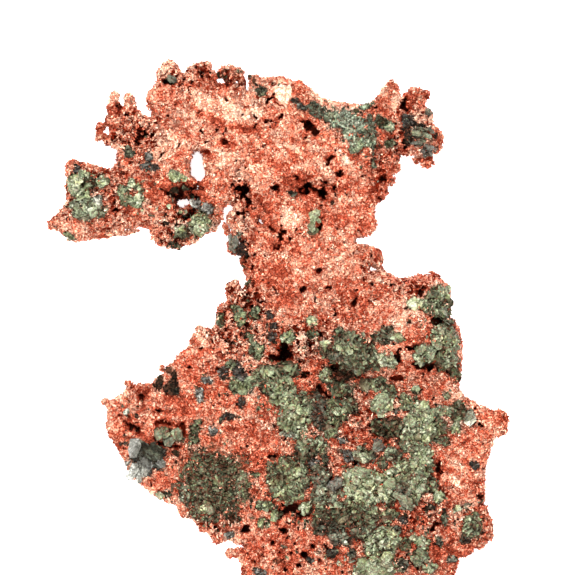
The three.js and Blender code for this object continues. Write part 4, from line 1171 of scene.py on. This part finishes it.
def mineral_mass(name, places, material, slot, nodes, seed, fine=1.0, prisms=()):
    """One mineral's piece: a crust whose top is the nugget's face plus a lift that grows inwards from
    the ragged edge, plus domes and folds, and crystals that stand on it. Where its places overlap, each
    one's share of the tone is e to the 7 times how far inside it the point lies. Black is sunk by 3 mm.
    fine scales the crystals."""
    sizes, _ = state()
    p = plan()
    rng = np.random.default_rng(seed)
    x, y = p["x"], p["y"]
    fields = np.stack([mineral_field(x, y, place) for place in places])
    over = fields.max(0)
    tones, greys = (np.array([place[k] for place in places]) for k in (5, 6))
    shares = np.exp(7 * (fields - over))
    shares /= shares.sum(0)
    tone = np.tensordot(tones, shares, 1)
    grey = np.tensordot(greys, shares, 1)
    sunk = 3.0 * smooth((0.06 - tone) / 0.05) * smooth((tone + 0.08) / 0.05)
    lift = 1.5 * smooth(over / 0.45) - 0.6
    base = p["top"] + 0.5 * fractal(x, y, 14, 3, 1)
    top = base + lift + p["dome"] * smooth(over / 0.25) * fine - sunk
    covered = (over[:-1, :-1] > 0) & (over[1:, 1:] > 0) & (p["edge"][:-1, :-1] > -0.4)
    chosen = without_corner_contacts(covered)
    if not chosen.any():
        raise ValueError(f"{name} covers no part of the nugget")
    p["skin"] = np.where((over > 0) & (p["edge"] > -0.4), np.maximum(top, p["skin"] - 3), p["skin"])
    # Painted shade: the crust's tone is darker in the crevices between its domes and folds.
    shade = tone + 0.2 * (p["cell"] - 0.5) - 0.12 - 0.45 * p["crevice"]
    sideways = [0.3 * noise(x, y, 1.1, 9), 0.3 * noise(x, y, 1.1, 10)]
    upper = np.stack([x + sideways[0], y + sideways[1], top], -1).reshape(-1, 3)
    lower = np.stack([x, y, np.minimum(base - 2.2, top - 0.5)], -1).reshape(-1, 3)
    rust = 0.6 * p["crevice"] * smooth(fractal(x, y, 3, 2, 58) + 0.4)
    painted_on = {"tone": shade, "grey": grey, "rust": rust}
    painted_on = {name: np.tile(values.ravel(), 2) for name, values in painted_on.items()}
    crust = (np.concatenate([upper, lower]), sheet_faces(chosen, p["flip"]), painted_on)
    density = 1.5 / fine**2
    cx, cy, inward = scatter(p, np.where(p["edge"] > -0.2, over, -1), density, rng)
    big = rng.random(cx.size) < 0.2
    size = sizes.crystal / MM * fine * np.where(big, 1.25, 0.75) * (0.6 + 0.4 * smooth(inward / 0.3))
    own_tone, own_grey = sampled(tone, p, cx, cy), sampled(grey, p, cx, cy)
    parts = [crust, crystals_on(p, cx, cy, own_tone, own_grey, size, rng)]
    if prisms:
        parts.append(prisms_on(p, prisms, rng))
    return piece(name, *joined(*parts), material, slot, nodes)


def strewn_crystals(name, places, material, slot, seed):
    """Single crystals strewn over stretches of the copper and round the edges of the minerals."""
    sizes, _ = state()
    p = plan()
    rng = np.random.default_rng(seed)
    fields = np.stack([inside_ellipse(p["x"], p["y"], place) for place in places])
    over = fields.max(0) + 0.6 * fractal(p["x"], p["y"], 5, 4, 44)
    near = smooth((p["mineral"] + 0.7) / 0.7) - 0.45
    field = np.where((p["ragged"] > 0.4) & (p["mineral"] < 0.1), np.maximum(over - 0.15, near), -1)
    x, y, inward = scatter(p, field, 0.5, rng)
    kept = rng.random(x.size) < 0.1 + 0.6 * smooth(inward)
    x, y = x[kept], y[kept]
    clouds = fractal(p["x"], p["y"], 12, 2, 45)
    tone = 0.13 + 0.35 * sampled(clouds, p, x, y) + 0.25 * (rng.random(x.size) < 0.2)
    grey = np.clip(rng.normal(0.1, 0.3, x.size), 0, 1)
    size = sizes.crystal / MM * rng.uniform(0.35, 0.9, x.size)
    return piece(name, *crystals_on(p, x, y, tone, grey, size, rng), material, slot)


# Operators.


class NUGGET_OT_copper(bpy.types.Operator):
    """Builds the copper sheet"""

    bl_idname = "nugget.copper"
    bl_label = "Copper"

    def execute(self, context):
        copper_sheet()
        return {"FINISHED"}


class NUGGET_OT_minerals(bpy.types.Operator):
    """Builds every mineral mass that stands for a CAD lump"""

    bl_idname = "nugget.minerals"
    bl_label = "Mineral masses"

    def execute(self, context):
        _, colours = state()
        slots = {s["node"]: s["material_slot"] for s in frame["record"]["subparts"]}
        finishes = {
            "green_crust": mineral_material("teal crust", colours, 0.5, 0.55, tuple(colours.teal)),
            "pale_green_crystal": mineral_material("pale green crystal", colours, 0.4, 0.4),
            "green_crystal": mineral_material("green crystal", colours, 0.7, 0.4),
            "dark_green_crystal": mineral_material("dark green crystal", colours, 0.9, 0.45),
            "dark_rock": mineral_material("dark rock", colours, 0.5, 0.5),
            "grey_quartz": mineral_material("grey quartz", colours, 0.1, 0.2),
            "white_quartz": mineral_material("white quartz", colours, 0.1, 0.15),
        }
        fineness = {
            "round_dark_patch": 0.65, "knob_pale_nodule": 0.6, "corner_green_nodule": 0.8,
            "head_green_crust": 0.5, "hip_grey_quartz": 0.5, "hip_white_quartz": 0.5,
            "right_arm_rock": 0.45, "neck_brown_rock": 0.5, "throat_green_crystal": 0.45,
            "arm_nodule_cluster": 0.7,
        }
        first_seed = 300
        for seed, (node, places) in enumerate(MINERALS.items()):
            slot = slots[node]
            mineral_mass(
                node + "_crystals", places, finishes[slot], slot, [node], first_seed + seed,
                fineness.get(node, 1.0), prisms=PRISMS.get(node, ()))
        return {"FINISHED"}


class NUGGET_OT_specks(bpy.types.Operator):
    """Builds the small crystals that sit alone in the copper"""

    bl_idname = "nugget.specks"
    bl_label = "Small crystals"

    def execute(self, context):
        material = mineral_material("small crystals", state()[1], 0.3, 0.35)
        mineral_mass("small_crystals", SPECKS, material, "green_crystal", (), 500, 0.7)
        strewn_crystals("strewn_crystals", SPRINKLES, material, "green_crystal", 510)
        return {"FINISHED"}


class NUGGET_OT_hooks(bpy.types.Operator):
    """Builds the small hooks of copper that stand on the sheet"""

    bl_idname = "nugget.hooks"
    bl_label = "Copper hooks"

    def execute(self, context):
        copper_hooks("copper_hooks", 1.0, 21)
        copper_hooks("copper_crumbs", 0.7, 22)
        copper_hooks("rim_hooks", 1.1, 23, True)
        return {"FINISHED"}


class NUGGET_OT_stage(bpy.types.Operator):
    """Builds the floor, the lights and the camera"""

    bl_idname = "nugget.stage"
    bl_label = "Stage"

    def execute(self, context):
        make_floor(state()[1])
        make_lights()
        make_camera()
        return {"FINISHED"}


def make_floor(colours):
    """A plain pale floor, four metres wide, on the plane that the nugget rests on."""
    half = 2.0
    mesh = bpy.data.meshes.new("floor")
    corners = [(-half, -half, 0), (half, -half, 0), (half, half, 0), (-half, half, 0)]
    mesh.from_pydata(corners, [], [(0, 1, 2, 3)])
    floor = bpy.data.objects.new("floor", mesh)
    material = bpy.data.materials.new("pale floor")
    material.use_nodes = True
    shader = material.node_tree.nodes["Principled BSDF"]
    shader.inputs["Base Color"].default_value = tuple(colours.floor)
    shader.inputs["Roughness"].default_value = 0.9
    shader.inputs["Emission Color"].default_value = tuple(colours.floor)
    shader.inputs["Emission Strength"].default_value = 1.0
    mesh.materials.append(material)
    bpy.context.scene.collection.objects.link(floor)
    floor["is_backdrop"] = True


def area_light(name, place, width, power):
    """A square soft light of the given width that points at the origin."""
    light = bpy.data.lights.new(name, "AREA")
    light.size = width
    light.energy = power
    lamp = bpy.data.objects.new(name, light)
    lamp.location = place
    lamp.rotation_euler = (-Vector(place)).to_track_quat("-Z", "Y").to_euler()
    bpy.context.scene.collection.objects.link(lamp)


def make_lights():
    """An even white sky, a broad key light beyond the crown and three weaker ones round the nugget."""
    world = bpy.data.worlds.new("studio")
    world.use_nodes = True
    world.node_tree.nodes["Background"].inputs["Color"].default_value = (1, 1, 1, 1)
    world.node_tree.nodes["Background"].inputs["Strength"].default_value = 0.42
    bpy.context.scene.world = world
    bpy.context.scene.view_settings.view_transform = "Standard"
    area_light("key", (-0.3, 0.65, 0.8), 0.45, 22)
    area_light("right fill", (0.75, 0.1, 0.7), 0.4, 8)
    area_light("left fill", (-0.75, -0.2, 0.7), 0.4, 6)
    area_light("near fill", (0.1, -0.8, 0.65), 0.4, 11)


def make_camera():
    """Straight above the nugget, 230 mm of it across the frame, a little above the middle of its length."""
    data = bpy.data.cameras.new("camera")
    data.sensor_width = 36
    height, width, face = 2.2, 0.230, 0.0095
    data.lens = data.sensor_width * height / width
    camera = bpy.data.objects.new("camera", data)
    camera.location = (0.0044, 0.0214, face + height)
    bpy.context.scene.collection.objects.link(camera)
    bpy.context.scene.camera = camera


class NUGGET_PT_panel(bpy.types.Panel):
    """Lists the nugget's operators, sizes and colours"""

    bl_label = "Nugget"
    bl_space_type = "VIEW_3D"
    bl_region_type = "UI"
    bl_category = "Nugget"

    def draw(self, context):
        for step in STEPS:
            self.layout.operator(step.bl_idname)
        for group in (context.scene.nugget_sizes, context.scene.nugget_colours):
            for name in group.__annotations__:
                self.layout.prop(group, name)


STEPS = (NUGGET_OT_copper, NUGGET_OT_minerals, NUGGET_OT_specks, NUGGET_OT_hooks, NUGGET_OT_stage)
CLASSES = (NuggetSizes, NuggetColours, *STEPS, NUGGET_PT_panel)


def register():
    """Makes the classes and the scene's two groups of properties known."""
    for cls in CLASSES:
        bpy.utils.register_class(cls)
    bpy.types.Scene.nugget_sizes = bpy.props.PointerProperty(type=NuggetSizes)
    bpy.types.Scene.nugget_colours = bpy.props.PointerProperty(type=NuggetColours)


def unregister():
    """Takes back what register did."""
    del bpy.types.Scene.nugget_colours
    del bpy.types.Scene.nugget_sizes
    for cls in reversed(CLASSES):
        bpy.utils.unregister_class(cls)


def main():
    """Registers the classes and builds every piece."""
    register()
    bpy.ops.nugget.copper()
    bpy.ops.nugget.minerals()
    bpy.ops.nugget.specks()
    bpy.ops.nugget.hooks()
    bpy.ops.nugget.stage()


if __name__ == "__main__":
    main()
